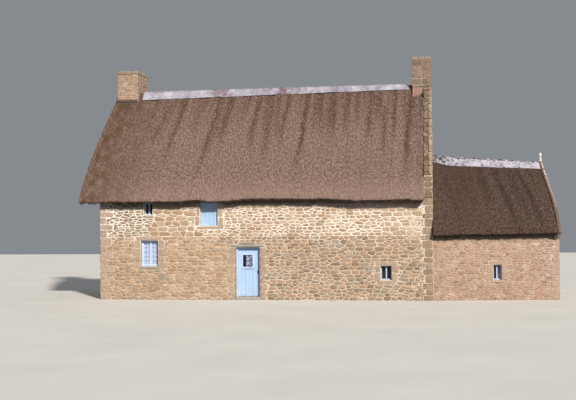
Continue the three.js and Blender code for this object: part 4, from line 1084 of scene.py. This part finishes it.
def slope_coat(label, side, seed, columns, rows, furrows, eave_lift):
    """One slope of the main roof: side is -1 at the front, and eave_lift gives the eave's rise along x."""
    a = np.linspace(0, 1, columns)[None, :]
    b = np.linspace(0, 1, rows)[:, None] ** 0.9
    start = LEFT_TOP + (RIGHT_TOP - LEFT_TOP) * a + 0 * b
    x = start - np.interp(start, *zip(*LEAN)) * np.sin(b * np.pi / 2)
    end = EAVE_REACH - eave_lift(x) / SLOPE
    y = b * end
    y[0, :] = 0.0003
    distance = y / math.cos(STEEP)
    wet = np.maximum(furrow_depth(x, distance, furrows, seed + 7), 0.34 * rising(-3.2 - start, 1.8))
    rise = waves(start, y, seed, (0.35, 0.10, 0.014), (1.3, 0.12, 0.010), (3.2, 0.2, 0.006),
                 (6.0, 0.6, 0.003))
    fade = rising(y, 0.25) * rising(start - LEFT_TOP, 0.1) * np.clip((1 - b) / 0.04, 0.3, 1)
    rise = np.clip(rise - 0.024 * wet, -0.05, 0.030) * fade
    rise += 0.12 * np.exp(-((PARAPET_X - x) / 0.26) ** 2) * rising(y - 0.3, 0.2) * rising(1 - b, 0.3)
    rise -= 0.020 * rising(b - 0.94, 0.06) ** 2
    over = np.stack([x, side * (y + rise * 0.5), RIDGE_Z - SLOPE * y + rise], axis=-1)
    y_under = b * (UNDER_REACH + (end - EAVE_REACH) * 0.5)
    under = np.stack([x, side * y_under, UNDER_RIDGE_Z - SLOPE * y_under], axis=-1)
    flow = np.stack([start + 20 * side, distance], axis=-1)
    moss = rising(-5.3 - start, 1.1) * 0.95 + 0.35 * rising(-3.6 - start, 1.6)
    moss = np.maximum(moss, 0.3 * rising(0.7 - distance, 0.7)) + 0.06
    name = label + "_thatch_coat"
    made = coat(name, over, under, flow, moss, wet, side > 0)
    carve(made, STACK_HOLES)
    keep(made, name, (label + "_thatch",), finish=THATCH, smooth=True)
    return over


def front_eave(x):
    ragged = 0.016 * waves(x, 0 * x, 102, (0.8, 0, 1.0), (2.1, 0, 0.8))
    return np.maximum(np.interp(x, *zip(*EAVE_LIFT)) + ragged, 0.012)


mirrored = [([(0.4 - x, down) for x, down in path], width, strength) for path, width, strength in FURROWS]
front_over = slope_coat("front", -1, 101, 400, 70, FURROWS, front_eave)
back_over = slope_coat("back", 1, 102, 300, 52, mirrored, lambda x: 0.05 + 0 * x)

# %% [markdown]
# The wing's thatch starts steep at the eave and eases towards its ridge, and the ridge falls to the right.
# The coat is drawn in the wing's own directions, along its length and out from its ridge, then turned with
# it. Its section is a list of stations, each with a share of the way down, the distance from the ridge and
# the height. Its left end is cut by the plane of the main gable.

# %% Wing thatch
WING_FURROWS = [([(2.58, 0.3), (2.62, 4.2)], 0.13, 1.0), ([(3.10, 0.8), (3.14, 3.2)], 0.16, 0.6),
                ([(3.52, 1.2), (3.55, 3.9)], 0.14, 0.85), ([(1.20, 0.6), (1.26, 3.0)], 0.16, 0.6),
                ([(1.90, 0.4), (1.88, 2.6)], 0.15, 0.6), ([(0.55, 1.2), (0.52, 3.6)], 0.14, 0.5)]
WING_END = 4.552
WING_SECTION = [(0.0, 0.0, 5.205), (0.13, 0.45, 4.834), (0.27, 0.95, 4.425), (0.40, 1.40, 4.058),
                (0.54, 1.87, 3.66), (0.66, 2.16, 3.345), (0.78, 2.40, 3.03), (0.89, 2.58, 2.72),
                (1.0, 2.721, 2.416)]
WING_UNDERSIDE = [(0.0, 0.0, 4.842), (0.74, 2.0, 3.19), (0.97, 2.409, 2.416), (1.0, 2.44, 2.39)]


def grown(level, s):
    """A height over the wing's eave, raised towards the left, where the ridge is higher."""
    most = (WING_RIDGE[0] - WING_EAVE) / (WING_RIDGE[1] - WING_EAVE)
    raised = WING_EAVE + (level - WING_EAVE) * (1 + (most - 1) * (1 - s / WING_LONG))
    return np.where(level > WING_EAVE, raised, level)


def section(stations, share):
    """Way out from the ridge and height at a share of the way down, from stations that give all three."""
    shares, outs, levels = zip(*stations)
    return np.interp(share, shares, outs), np.interp(share, shares, levels)


def wing_coat(label, side, seed, columns, rows):
    b = np.linspace(0, 1, rows)[:, None]
    a = np.linspace(0, 1, columns)[None, :]
    out, tall = section(WING_SECTION, b + 0 * a)
    first = np.maximum((WING_MIDDLE + side * out) * math.tan(WING_TURN) + 0.0004, 0)
    s = first + (WING_END - first) * a
    z = grown(tall, s)
    z += 0.05 * rising(s, 4.6) * rising(b - 0.8, 0.2)
    rise = waves(s, out, seed, (0.5, 0.10, 0.016), (1.5, 0.15, 0.012), (3.6, 0.3, 0.007))
    z += np.clip(rise, -0.025, 0.03) * rising(out, 0.2) * rising(WING_END - s, 0.1)
    z += 0.018 * waves(s, 0 * s, seed + 3, (1.6, 0, 1.0), (4.0, 0, 0.8)) * rising(b - 0.9, 0.1)
    over = np.stack([s, WING_MIDDLE + side * out, z], axis=-1)
    inner, low = section(WING_UNDERSIDE, b + 0 * a)
    under = np.stack([s, WING_MIDDLE + side * inner, grown(low, s) + 0.002], axis=-1)
    along, down = s - 0.55 * b, b * 4.0
    flow = np.stack([along + 40 + 20 * side, down + 0 * a], axis=-1)
    moss = 0.12 + 0.45 * np.exp(-((along - 1.2) / 0.8) ** 2) + 0.35 * rising(0.4 - b, 0.4)
    wet = furrow_depth(along, down, WING_FURROWS, seed + 9)
    name = f"wing_{label}_thatch_coat"
    made = coat(name, over, under, flow, moss, wet, side > 0)
    made.data.transform(wing_front)
    keep(made, name, (f"wing_{label}_thatch",), finish=WING_THATCH, smooth=True)
    return over


wing_over = wing_coat("front", -1, 111, 120, 60)
wing_back_over = wing_coat("back", 1, 112, 84, 42)

# %% [markdown]
# Along the eaves and the open left edge the reeds end in a ragged fringe. One thin bundle of reeds is drawn
# once, and Geometry Nodes set it along each edge on points that already know which way the slope runs
# there.

# %% Ragged edges of the thatch
corners = [(math.cos(2 * math.pi * k / 3), math.sin(2 * math.pi * k / 3)) for k in range(3)]
verts = [(x * wide, y * wide, z) for z, wide in ((0.0, 0.5), (-0.7, 0.45), (-1.0, 0.12)) for x, y in corners]
faces = [(0, 1, 2), (8, 7, 6)]
faces += [(k + 3, (k + 1) % 3 + 3, (k + 1) % 3, k) for k in range(3)]
faces += [(k + 6, (k + 1) % 3 + 6, (k + 1) % 3 + 3, k + 3) for k in range(3)]
bundle = put_hidden("reed_bundle", verts, faces)


def fringe(name, line, down, outward, count, seed, finish, proud=0.03, wall=Matrix()):
    """Bundles along a line of points; down is the way they hang, and outward the way out of the coat."""
    pick = random.Random(seed)
    line = [Vector(p) for p in line]
    runs = [0.0]
    for a, b in zip(line, line[1:]):
        runs.append(runs[-1] + (b - a).length)
    reeds = []
    for _ in range(count):
        at = pick.uniform(0, runs[-1])
        k = max(i for i in range(len(runs) - 1) if runs[i] <= at)
        point = line[k].lerp(line[k + 1], (at - runs[k]) / max(1e-6, runs[k + 1] - runs[k]))
        way = Vector(down) + Vector([pick.gauss(0, 0.09) for _ in range(3)])
        long = pick.uniform(0.10, 0.22)
        reach = pick.uniform(-0.010, proud)
        inward = 0.004 + pick.uniform(0.0, 1.0) ** 1.5 * 0.16
        wide = pick.uniform(0.010, 0.024)
        place = point - way.normalized() * (long - reach) - Vector(outward) * inward
        reeds.append((place, (wide, wide, long), tuple((-way).to_track_quat("Z", "Y").to_euler()), 0.0))
    layout = lay_copies(name, bundle, finish, reeds, 0.0, 1.0, 0.004, seed)
    points = read(layout.data.vertices, "co", 3)
    set_flow(layout, np.stack([points[:, 0] + points[:, 1], 4.0 + 0 * points[:, 0]], axis=-1))
    store(layout, "POINT", moss=np.full(len(points), 0.15))
    layout.data.transform(wall)
    settle(layout)
    keep(layout, name)


fall = Vector((0, -1, -SLOPE)).normalized()
for side, label, count, over, wing in ((-1, "front", 2600, front_over, wing_over),
                                       (1, "back", 1500, back_over, wing_back_over)):
    down, out = (0, -side * fall.y, fall.z), (0, -side * fall.z, -fall.y)
    fringe(label + "_eave_fringe", over[-1][::2], down, out, count, 120 + side, STRAW)
    verge = Vector((-0.25, side * 0.5, -0.83)).normalized()
    fringe(label + "_verge_fringe", over[4:-1:2, 0], verge, (-1, 0, 0), 900, 130 + side, STRAW, proud=0.015)
    down = Vector((0, side * 0.42, -0.91)).normalized()
    fringe(f"wing_{label}_eave_fringe", wing[-1][::2], down, (0, side * 0.91, 0.42), 900, 140 + side,
           WING_THATCH, wall=wing_front)

# %% [markdown]
# A saddle of cement seals each ridge. It was spread by hand, so its lower edge wanders and its top is
# lumpy. Years of weather left it nearly white with grey blooms and black spots of lichen.

# %% Cement ridges


def cement(name, blotch, low_spots, spotted):
    """Nearly white cement with lilac-grey blooms and dark spots, more at one end and on the crest; painted
    shade on faces turned down along its lower edge and at its ends.
    """
    recipe = Recipe(name, 0.9)
    clouds = recipe.patches(2.2, 0.36, 0.66, detail=6.0, rough=0.7)
    recipe.base = recipe.mix(clouds, (198, 193, 202), (142, 135, 148))
    along, up = recipe.height("X"), recipe.facing("Z")
    left = recipe.range(along, -2.7, -2.4, 0.0, 0.7)
    left = recipe.combine(left, recipe.range(along, -1.9, -1.6, 1.0, 0.0))
    middle = recipe.combine(recipe.range(along, -0.5, -0.2), recipe.range(along, 1.3, 1.7, 1.0, 0.0))
    where = recipe.range(recipe.combine(left, middle, "MAXIMUM"), 0.0, 1.0, 0.25, 1.0)
    brown = recipe.patches(2.1, 0.47, 0.57, 0.0, blotch, detail=6.0, rough=0.75)
    recipe.over(recipe.combine(brown, where), (112, 82, 84))
    end, crest = recipe.range(along, 6.9, 7.7, spotted, 0.0), recipe.range(up, 0.75, 0.95, 0.0, spotted)
    more = recipe.combine(recipe.combine(end, crest, "MAXIMUM"), low_spots, "ADD")
    spots = recipe.combine(recipe.grain(7.0, detail=6.0, rough=0.75), more, "ADD")
    recipe.over(recipe.range(spots, 0.60, 0.64, 0.0, 0.92), (40, 36, 36))
    # Painted shade: faces that turn down or sideways, along the lower rim and at the ends, are darkened to a
    # shadow line.
    recipe.over(recipe.range(up, -0.1, 0.15, 1.0, 0.0), (74, 64, 76))
    recipe.speckle(40.0, 0.86, 1.04, detail=4.0)
    return recipe.finish((recipe.grain(30.0, detail=6.0), 0.01))


# %% Saddles on both ridges


def saddle(name, node, seed, finish, stations, half, ridge, slope, top, wall=Matrix(), drop=lambda s: 0 * s):
    """A ridge of cement with nine points across at each station, from edge to edge over the top."""
    shares = np.array([-1.0, -1.0, -0.66, -0.28, 0.0, 0.28, 0.66, 1.0, 1.0])
    lifts = np.array([0.0, 0.018, 0.80, 1.0, 1.0, 1.0, 0.80, 0.018, 0.0])
    rows, columns = len(stations), len(shares)
    s = stations[:, None]
    across = half(s) * (1 + 0.035 * waves(s, 0 * s, seed, (0.5, 0, 1.0), (1.9, 0, 0.7))) * shares
    lumps = 1 + 0.12 * waves(s, across * 3, seed + 1, (1.2, 0.5, 1.0), (3.0, 1.0, 0.7))
    lift = np.minimum(top * lifts * lumps, top)
    lift[:, [1, 7]] = 0.034
    lift[:, [0, 8]] = -0.03
    z = ridge(s) - slope * np.abs(across) + lift - drop(s) * (1 - 0.75 * np.abs(shares))
    verts = np.stack([s + 0 * across, across, z], axis=-1).reshape(-1, 3)
    keel = np.concatenate([s, 0 * s, ridge(s) - 0.05 - drop(s)], axis=-1)
    faces, count = [], rows * columns
    for j in range(rows - 1):
        k, first, last = count + j, j * columns, (j + 1) * columns - 1
        faces += [(a, a + columns, a + columns + 1, a + 1) for a in range(first, last)]
        faces += [(first, k, k + 1, first + columns), (last, last + columns, k + 1, k)]
    faces += [(*range(columns), count), (count + rows - 1, *range(count - 1, count - columns - 1, -1))]
    made = put(name, np.concatenate([verts, keel]), faces)
    face_outward(made)
    made.data.transform(wall)
    keep(made, name, (node,), finish=finish, smooth=True)


start, end = -5.44, 5.54
saddle("main_ridge_saddle", "ridge_cap", 150, cement("weathered cement", 0.9, 0.0, 0.0),
       np.linspace(start, end, 190), lambda s: 0.225 - 0.095 * (s - start) / (end - start),
       lambda s: RIDGE_Z + 0 * s, SLOPE, 0.060, drop=lambda s: 0.11 * rising(s + 0.36 - end, 0.36) ** 2)
saddle("wing_ridge_saddle", "wing_ridge_cap", 151, cement("spotted cement", 0.35, 0.056, 0.060),
       np.linspace(0.36, 4.54, 90),
       lambda s: (0.435 - 0.125 * s / WING_LONG) * (1 - 0.35 * rising(0.8 - s, 0.44)),
       lambda s: grown(WING_RIDGE[1], s), WING_SLOPE * 1.05, 0.062, wall=wing_front @ seat(0, 0, WING_MIDDLE))

# %% [markdown]
# The right gable stands through the roof as a low parapet. It is capped with small rough stones, two
# abreast: the inner ones are dark with ochre lichen and their ends jut over the thatch, and the outer ones
# are paler. They are laid like a wall that leans with the roof, and drawn across from the inner edge on the
# back, from the outer edge on the front.

# %% Parapet stones
ABREAST = 0.290


def lengths(pick, whole, shortest, longest):
    """Random lengths one after the other, as start and end, until they fill the whole."""
    u = 0.0
    while u < whole - 0.05:
        long = min(pick.uniform(shortest, longest), whole - u)
        yield u, u + long
        u += long


def rake(side, label, seed, y_start, y_end):
    pick = random.Random(seed)
    whole = abs(y_end - y_start) / math.cos(STEEP)
    inner, outer = [], []
    for u0, u1 in lengths(pick, whole, 0.13, 0.30):
        inner.append((u0, u1, -pick.choice((0.0, 0.01, 0.02, 0.045)), pick.uniform(0.15, 0.20)))
    for u0, u1 in lengths(pick, whole, 0.18, 0.42):
        outer.append((u0, u1, 0.175, 0.298))
    up = Vector((0, -side * math.cos(STEEP), math.sin(STEEP)))
    face = Vector((0, side * math.sin(STEEP), math.cos(STEEP)))
    base = Matrix((up, -face, (side, 0, 0))).transposed().to_4x4()
    base.translation = Vector((6.111, y_start, RIDGE_Z - SLOPE * abs(y_start) + 0.110 / math.cos(STEEP)))
    base.translation += face * 0.066
    if side < 0:
        base.translation.x += ABREAST
        inner, outer = ([(a, b, ABREAST - d, ABREAST - c) for a, b, c, d in row] for row in (inner, outer))
    lay(label + "_parapet_inner_stones", inner, Matrix.Translation(-0.035 * face) @ base, COPING, seed,
        wander=0.02, size=6.0, rough=0.02, joint=0.004, lean=0.03, deep=0.075,
        replaced=("right_coping_" + label,))
    lay(label + "_parapet_outer_stones", outer, base, EDGE_STONE, seed + 1, wander=0.012, size=6.0,
        rough=0.012, joint=0.006, proud=0.015, lean=0.02, deep=0.075)


rake(-1, "front", 160, -2.6, -0.235)
rake(1, "back", 162, 2.6, 0.970)

# %% [markdown]
# Doors and windows are painted a pale blue that the sun has chalked. The paint wears off the lower edges
# and shows grey wood. Glass is dark and dusty, and two of the panes are coloured a pale lilac on their
# right part.

# %% Paint, glass, iron, linen and wood


def chalky_paint(name, light, worn, lowest):
    recipe = Recipe(name, 0.62)
    strokes = recipe.grain(1.0, recipe.stretched((22.0, 22.0, 2.2)))
    recipe.base = recipe.mix(recipe.range(strokes, 0.35, 0.65), light, worn)
    low = recipe.range(recipe.height(), lowest, lowest + 0.35, 0.16, 0.0)
    bare = recipe.combine(recipe.grain(15.0, detail=6.0, rough=0.75), low, "ADD")
    recipe.over(recipe.range(bare, 0.66, 0.72, 0.0, 0.8), (138, 132, 126))
    recipe.over(recipe.patches(3.0, 0.5, 0.75, 0.0, 0.3), (150, 170, 198))
    return recipe.finish((strokes, 0.003, 0.6))


def old_glass(name, base=(14, 18, 28), alpha=1.0, pale_from=None):
    """Dark glass with dust; to the right of a given line the pane is coloured a pale lilac."""
    recipe = Recipe(name, 0.12, {"Specular IOR Level": 0.25, "Alpha": alpha})
    recipe.base = recipe.mix(recipe.patches(9.0, 0.45, 0.75, 0.0, 0.22, detail=5.0), base, (110, 118, 130))
    if pale_from:
        # The pane's colour turns a patchy pale lilac to the right of the given line.
        pale_part = recipe.range(recipe.height("X"), pale_from, pale_from + 0.02)
        uneven = recipe.patches(7.0, 0.38, 0.58, 1.0, 0.25, detail=2.0)
        recipe.over(recipe.combine(pale_part, uneven), (172, 174, 208))
    return recipe.finish((recipe.grain(5.0, detail=1.0), 0.002))


def rusty_iron():
    recipe = Recipe("rusty iron", 0.7, {"Metallic": 0.4})
    recipe.base = recipe.mix(recipe.patches(40.0, 0.4, 0.65, detail=5.0), (58, 50, 46), (104, 66, 44))
    return recipe.finish((recipe.grain(90.0), 0.002))


def whitewash():
    recipe = Recipe("whitewashed stone", 0.9)
    recipe.base = recipe.mix(recipe.patches(9.0, 0.4, 0.7, detail=6.0), (230, 224, 204), (198, 186, 162))
    recipe.over(recipe.patches(16.0, 0.60, 0.68, 0.0, 0.7, detail=6.0, rough=0.8), (104, 96, 74))
    return recipe.finish((recipe.grain(24.0), 0.012))


def linen():
    recipe = Recipe("thin white linen", 0.95, {"Sheen Weight": 0.3})
    threads = {"Vector": recipe.place, "Scale": 260.0}
    warp, weft = (recipe.add("ShaderNodeTexWave", threads, "Fac", bands_direction=axis) for axis in "XZ")
    weave = recipe.combine(warp, weft)
    recipe.base = recipe.mix(weave, (246, 246, 254), (224, 226, 242))
    recipe.over(recipe.patches(4.0, 0.4, 0.7, 0.0, 0.4), (228, 224, 230))
    return recipe.finish((weave, 0.0006))


def coping_edge():
    """Mossy stone that is pale only along its outer edge, measured in the wing's own direction."""
    recipe = Recipe("wing coping stone", 0.9)
    out = recipe.part(recipe.stretched((1, 1, 1), turn=(0, 0, -WING_TURN)), "X")
    edge = WING_AT.x * math.cos(WING_TURN) + WING_AT.y * math.sin(WING_TURN) + 4.62
    ragged = recipe.combine(out, recipe.patches(8.0, 0.3, 0.7, -0.03, 0.03), "ADD")
    pale = recipe.mix(recipe.patches(6.0, 0.38, 0.62, detail=5.0), (190, 174, 156), (128, 106, 90))
    high = recipe.range(recipe.height(), 3.3, 4.1, 0.15, 1.0)
    share = recipe.combine(high, recipe.range(ragged, edge, edge + 0.012))
    recipe.base = recipe.mix(share, (100, 80, 66), pale)
    return recipe.finish((recipe.grain(30.0), 0.01))


def old_oak():
    recipe = Recipe("old oak", 0.75)
    rings = recipe.grain(1.0, recipe.stretched((0.9, 14.0, 14.0)), detail=5.0, rough=0.7, warp=0.4)
    recipe.base = recipe.mix(recipe.range(rings, 0.32, 0.68), (84, 62, 44), (146, 116, 86))
    recipe.over(recipe.patches(2.6, 0.62, 0.74, 0.0, 0.6, detail=3.0), (84, 62, 44))
    return recipe.finish((rings, 0.006))


# %% Finishes of doors and windows
PAINT = chalky_paint("chalky blue paint", (184, 210, 236), (172, 198, 230), 0.12)
LOFT_PAINT = chalky_paint("loft door paint", (176, 203, 228), (167, 195, 223), 2.8)
WINDOW_PAINT = chalky_paint("pale window paint", (204, 221, 248), (192, 211, 243), 1.2)
SMALL_PAINT = chalky_paint("small window paint", (196, 206, 226), (170, 186, 214), 0.7)
IRON, WHITEWASH, OAK = rusty_iron(), whitewash(), old_oak()
print("finishes so far", len(bpy.data.materials))

# %% [markdown]
# Solids that still show keep their shape and only change their material. The walls between the stones are
# lime mortar, floors and beams are slabs or timber. A wall has one material on all sides, so the mortar's
# shade follows the height and suits both faces.

# %% Finishes of the plain solids
on_solids = {
    MORTAR: ("front_wall_left", "front_wall_right", "front_wall_over_door", "back_wall"),
    GABLE_MORTAR: ("left_gable_wall", "right_gable_wall"),
    WING_MORTAR: ("wing_front_wall", "wing_back_wall"),
    WING_GABLE_MORTAR: ("wing_gable_wall",),
    STACK_MORTAR: ("left_chimney",),
    RIGHT_MORTAR: ("right_chimney",),
    FLAGS: ("ground_floor", "wing_floor"),
    OAK: ("front_purlin", "back_purlin", "ridge_beam", "wing_ridge_beam", "loft_floor"),
    IRON: ("door_pin_lower", "door_pin_upper", "door_strap_lower", "door_strap_upper", "curtain_rod"),
    old_glass("old window glass"): ("back_loft_window_glass", "back_lower_window_glass",
                                    "lower_right_window_glass", "upper_left_window_glass"),
    old_glass("front door glass", pale_from=-0.665): ("front_door_pane",),
    old_glass("wing window glass", pale_from=8.755): ("wing_window_glass",),
    old_glass("clear window glass", (206, 214, 236), 0.35): ("lower_left_glass",)}
for finish, names in on_solids.items():
    for name in names:
        nodes[name].data.materials.clear()
        nodes[name].data.materials.append(finish)
print("solids with a new finish", sum(len(names) for names in on_solids.values()))

# %% [markdown]
# Boards are plain boxes with a small chamfer: the chamfer catches the light, so each board reads as one.
# Frames come from the solids, with their doubles merged and their edges bevelled. Both are built as a mesh
# that is still open to changes and then kept as a piece.

# %% Helpers for woodwork


def soften(node, width, finish, name=None, smooth=False, rough=0.0):
    """A copy of a solid with its doubles merged, its flat faces joined and its edges bevelled."""
    mesh = nodes[node].data.copy()
    bm = bmesh.new()
    bm.from_mesh(mesh)
    bmesh.ops.remove_doubles(bm, verts=bm.verts, dist=0.00005)
    bmesh.ops.dissolve_limit(bm, angle_limit=math.radians(0.5), verts=bm.verts, edges=bm.edges)
    sharp = [e for e in bm.edges if e.is_manifold and e.calc_face_angle(0) > math.radians(30)]
    bmesh.ops.bevel(bm, geom=sharp, offset=width, segments=2, affect="EDGES", profile=0.6, clamp_overlap=True)
    pick = random.Random(16)
    for vert in bm.verts:
        vert.co += Vector([pick.uniform(-rough, rough) for _ in range(3)])
    bm.to_mesh(mesh)
    bm.free()
    for attribute in list(mesh.attributes):
        if attribute.name.startswith("UV"):
            mesh.attributes.remove(attribute)
    made = put("soft", [], [])
    made.data = mesh
    keep(made, name or node + "_soft", (node,), finish=finish, smooth=smooth)


def boards(name, boxes, chamfer, finish, body="house", replaced=()):
    """Boards with chamfered edges, each given as x0, x1, y0, y1, z0, z1."""
    bm = bmesh.new()
    for box in boxes:
        points = []
        for corner in range(8):
            at = [box[2 * k + (corner >> k & 1)] for k in range(3)]
            inward = [(-1 if corner >> k & 1 else 1) * chamfer for k in range(3)]
            for k in range(3):
                points.append(bm.verts.new([at[j] + (0 if j == k else inward[j]) for j in range(3)]))
        bmesh.ops.convex_hull(bm, input=points)
    bmesh.ops.dissolve_limit(bm, angle_limit=math.radians(1), verts=bm.verts, edges=bm.edges)
    bmesh.ops.recalc_face_normals(bm, faces=bm.faces)
    made = put(name, [], [])
    bm.to_mesh(made.data)
    bm.free()
    return keep(made, name, replaced, body, finish)


# %% [markdown]
# The front door is a leaf of six upright boards. A small pane sits high in it, in a raised casing with a
# moulding under it. On the inside two ledges hold the boards, clear of the iron straps. All of this swings
# with the leaf.

# %% Front door
x0, x1, z0, z1 = -0.970, -0.141, 0.128, 1.956
left, right_end, low, high = -0.785, -0.400, 1.245, 1.710
wide, depth = (x1 - x0) / 6, (-2.414, -2.369)
planks = []
for i in range(6):
    a, b = x0 + i * wide + 0.0015, x0 + (i + 1) * wide - 0.0015
    if b <= left or a >= right_end:
        planks.append((a, b, *depth, z0 + 0.006 * (i % 3), z1))
    else:
        planks += [(a, b, *depth, z0 + 0.006 * (i % 2), low), (a, b, *depth, high, z1)]
        beside = ((a, min(b, left)), (max(a, right_end), b))
        planks += [(u, v, *depth, low, high) for u, v in beside if v - u > 0.01]
casing = [(left - 0.045, left + 0.006, -2.430, -2.408, low - 0.045, high + 0.045),
          (right_end - 0.006, right_end + 0.045, -2.430, -2.408, low - 0.045, high + 0.045),
          (left - 0.045, right_end + 0.045, -2.431, -2.408, high - 0.006, high + 0.046),
          (left - 0.045, right_end + 0.045, -2.431, -2.408, low - 0.046, low + 0.006)]
moulding = [(-0.85, -0.335, -2.446, -2.410, 1.180, 1.199), (-0.84, -0.345, -2.432, -2.410, 1.160, 1.181)]
ledges = [(-0.93, -0.18, -2.371, -2.354, z, z + 0.12) for z in (0.56, 1.73)]
latch = [(-0.226, -0.190, -2.420, -2.410, 0.98, 1.12), (-0.218, -0.198, -2.438, -2.418, 1.01, 1.022),
         (-0.218, -0.198, -2.438, -2.418, 1.078, 1.090), (-0.216, -0.200, -2.442, -2.432, 1.008, 1.092)]
boards("front_door_boards", planks, 0.005, PAINT, body="front_door", replaced=("front_door",))
boards("front_door_casing", casing, 0.004, WINDOW_PAINT, body="front_door")
boards("front_door_moulding", moulding, 0.005, PAINT, body="front_door")
boards("front_door_ledges", ledges, 0.004, PAINT, body="front_door")
boards("front_door_latch", latch, 0.002, IRON, "front_door")
soften("front_door_frame", 0.006, PAINT)
soften("threshold", 0.018, SLAB, "threshold_worn")

# %% [markdown]
# The loft door is a fixed leaf of four planks in a heavy frame. The lower window has two leaves, each with
# one upright bar and four cross bars, so ten small panes. The other windows keep the post between their two
# lights.

# %% Loft door and windows
x0, x1 = -2.3547, -1.7853
cuts = [x0 + (x1 - x0) * k / 4 for k in range(5)]
planks = [(a + 0.0015, b - 0.0015, -2.462, -2.425, 2.860, 3.685) for a, b in zip(cuts, cuts[1:])]
boards("loft_door_planks", planks, 0.005, LOFT_PAINT, replaced=("loft_door",))
soften("loft_door_frame", 0.006, LOFT_PAINT)
soften("lower_left_frame", 0.005, WINDOW_PAINT)
soften("lower_left_sill", 0.012, SLAB)
for leaf in "ab":
    soften("lower_left_casement_" + leaf, 0.004, WINDOW_PAINT)
for window in ("upper_left", "lower_right", "wing", "back_lower", "back_loft"):
    soften(window + "_window_frame", 0.004, SMALL_PAINT)
bars, c, d = [], 1.358, 2.202
for a, b in ((-4.6917, -4.4613), (-4.3887, -4.1583)):
    middle = (a + b) / 2
    bars.append((middle - 0.009, middle + 0.009, -2.432, -2.412, c, d))
    for k in range(1, 5):
        level = c + (d - c) * k / 5
        bars.append((a, b, -2.430, -2.414, level - 0.009, level + 0.009))
boards("lower_left_glazing_bars", bars, 0.003, WINDOW_PAINT)

# %% [markdown]
# A thin curtain hangs behind the lower window, gathered on its rod. The cloth is one wavy sheet. Its true
# width is the length of the wave, which is measured and printed as the size it was cut to.

# %% Curtain
columns, rows, DROP = 241, 25, 0.8575
wave = []
for t in np.linspace(0, 1, columns):
    wave.append((-4.702 + 0.554 * t, 0.0085 * math.sin(2 * math.pi * (12.0 * t + 0.35 * math.sin(5 * t)))))
verts = [(x, -2.355 + fold * (0.75 + 0.25 * share), 2.2125 - DROP * share)
         for share in np.linspace(0, 1, rows) for x, fold in wave]
curtain = put("window_curtain", verts, grid_faces(rows, columns))
cut_width = sum(math.dist(a, b) for a, b in zip(wave, wave[1:]))
keep(curtain, "window_curtain", ("lower_left_curtain",), finish=linen(), smooth=True)
print("curtain cut to", round(cut_width, 3), "by", DROP)

# %% [markdown]
# The wing's gable ends in a thin mossy coping, pale along its edge, with a few thick white blocks near the
# top and a short whitewashed post as a finial. Pink mortar fills the corner in front of the right chimney,
# where the thatch meets the masonry.

# %% Wing coping, finial and mortar
soften("wing_coping", 0.012, coping_edge(), rough=0.002)
soften("wing_finial", 0.006, WHITEWASH, smooth=True)
for side, label in ((-1, "front"), (1, "back")):
    spots = []
    for k, u in enumerate((0.10, 0.26, 0.47, 0.62)):
        y0, y1 = sorted((WING_MIDDLE + side * (u - 0.06), WING_MIDDLE + side * (u + 0.06)))
        level = WING_RIDGE[1] - u * WING_SLOPE
        spots.append((4.60, 4.671, y0, y1, level - 0.05, level + 0.070 + 0.02 * (k % 2)))
    blocks = boards(f"wing_{label}_coping_blocks", spots, 0.022, WHITEWASH)
    blocks.data.transform(wing_front)
verts = []
for x, y in ((5.672, -0.335), (5.80, -0.315), (5.95, -0.280), (6.098, -0.250)):
    foot = RIDGE_Z - SLOPE * abs(y) + 0.012
    verts += [(x, -0.231, 7.95), (x, -0.231, 8.274), (x, -0.246, 8.270), (x, y, foot), (x, y, foot - 0.05)]
faces = [(0, 1, 2, 3, 4), (19, 18, 17, 16, 15)]
for j in (0, 5, 10):
    faces += [(j + k, j + 5 + k, j + 5 + (k + 1) % 5, j + (k + 1) % 5) for k in range(5)]
skirt = put("chimney_mortar_skirt", verts, faces)
face_outward(skirt)
keep(skirt, "chimney_mortar_skirt", finish=PINK_MORTAR)

# %% [markdown]
# The picture was taken on a clear day with the sun a little to the right, so the thatch throws a soft, deep
# shade on the wall below it. One broad sun lamp casts it, the painted shade in the wall finishes deepens it,
# and a pale sky fills the shade. The floor is plain.

# %% Floor and light
ground = put("studio_floor", [(-60, -60, 0), (60, -60, 0), (60, 60, 0), (-60, 60, 0)], [(0, 1, 2, 3)])
plain = Recipe("pale floor", 0.9)
plain.base = plain.mix(plain.patches(0.4, 0.3, 0.7, detail=2.0), (222, 218, 210), (214, 210, 203))
ground.data.materials.append(plain.finish())
ground.visible_diffuse = False
sun = bpy.data.objects.new("Sun", bpy.data.lights.new("Sun", "SUN"))
bpy.context.scene.collection.objects.link(sun)
sun.data.energy = 4.4
sun.data.angle = math.radians(4)
sun.data.color = (1.0, 0.965, 0.91)
azimuth, elevation = math.radians(32), math.radians(31)
toward = Vector((math.sin(azimuth) * math.cos(elevation), -math.cos(azimuth) * math.cos(elevation),
                 math.sin(elevation)))
sun.rotation_euler = toward.to_track_quat("Z", "Y").to_euler()
world = bpy.data.worlds.new("Sky")
bpy.context.scene.world = world
world.use_nodes = True
sky = world.node_tree.nodes["Background"].inputs
sky["Color"].default_value = (0.86, 0.92, 1.0, 1.0)
sky["Strength"].default_value = 0.28
bpy.context.scene.view_settings.view_transform = "Standard"
print("sun", azimuth, elevation)

# %% Helpers removed at the end
for helper in (squared_block, bundle):
    bpy.data.objects.remove(helper)
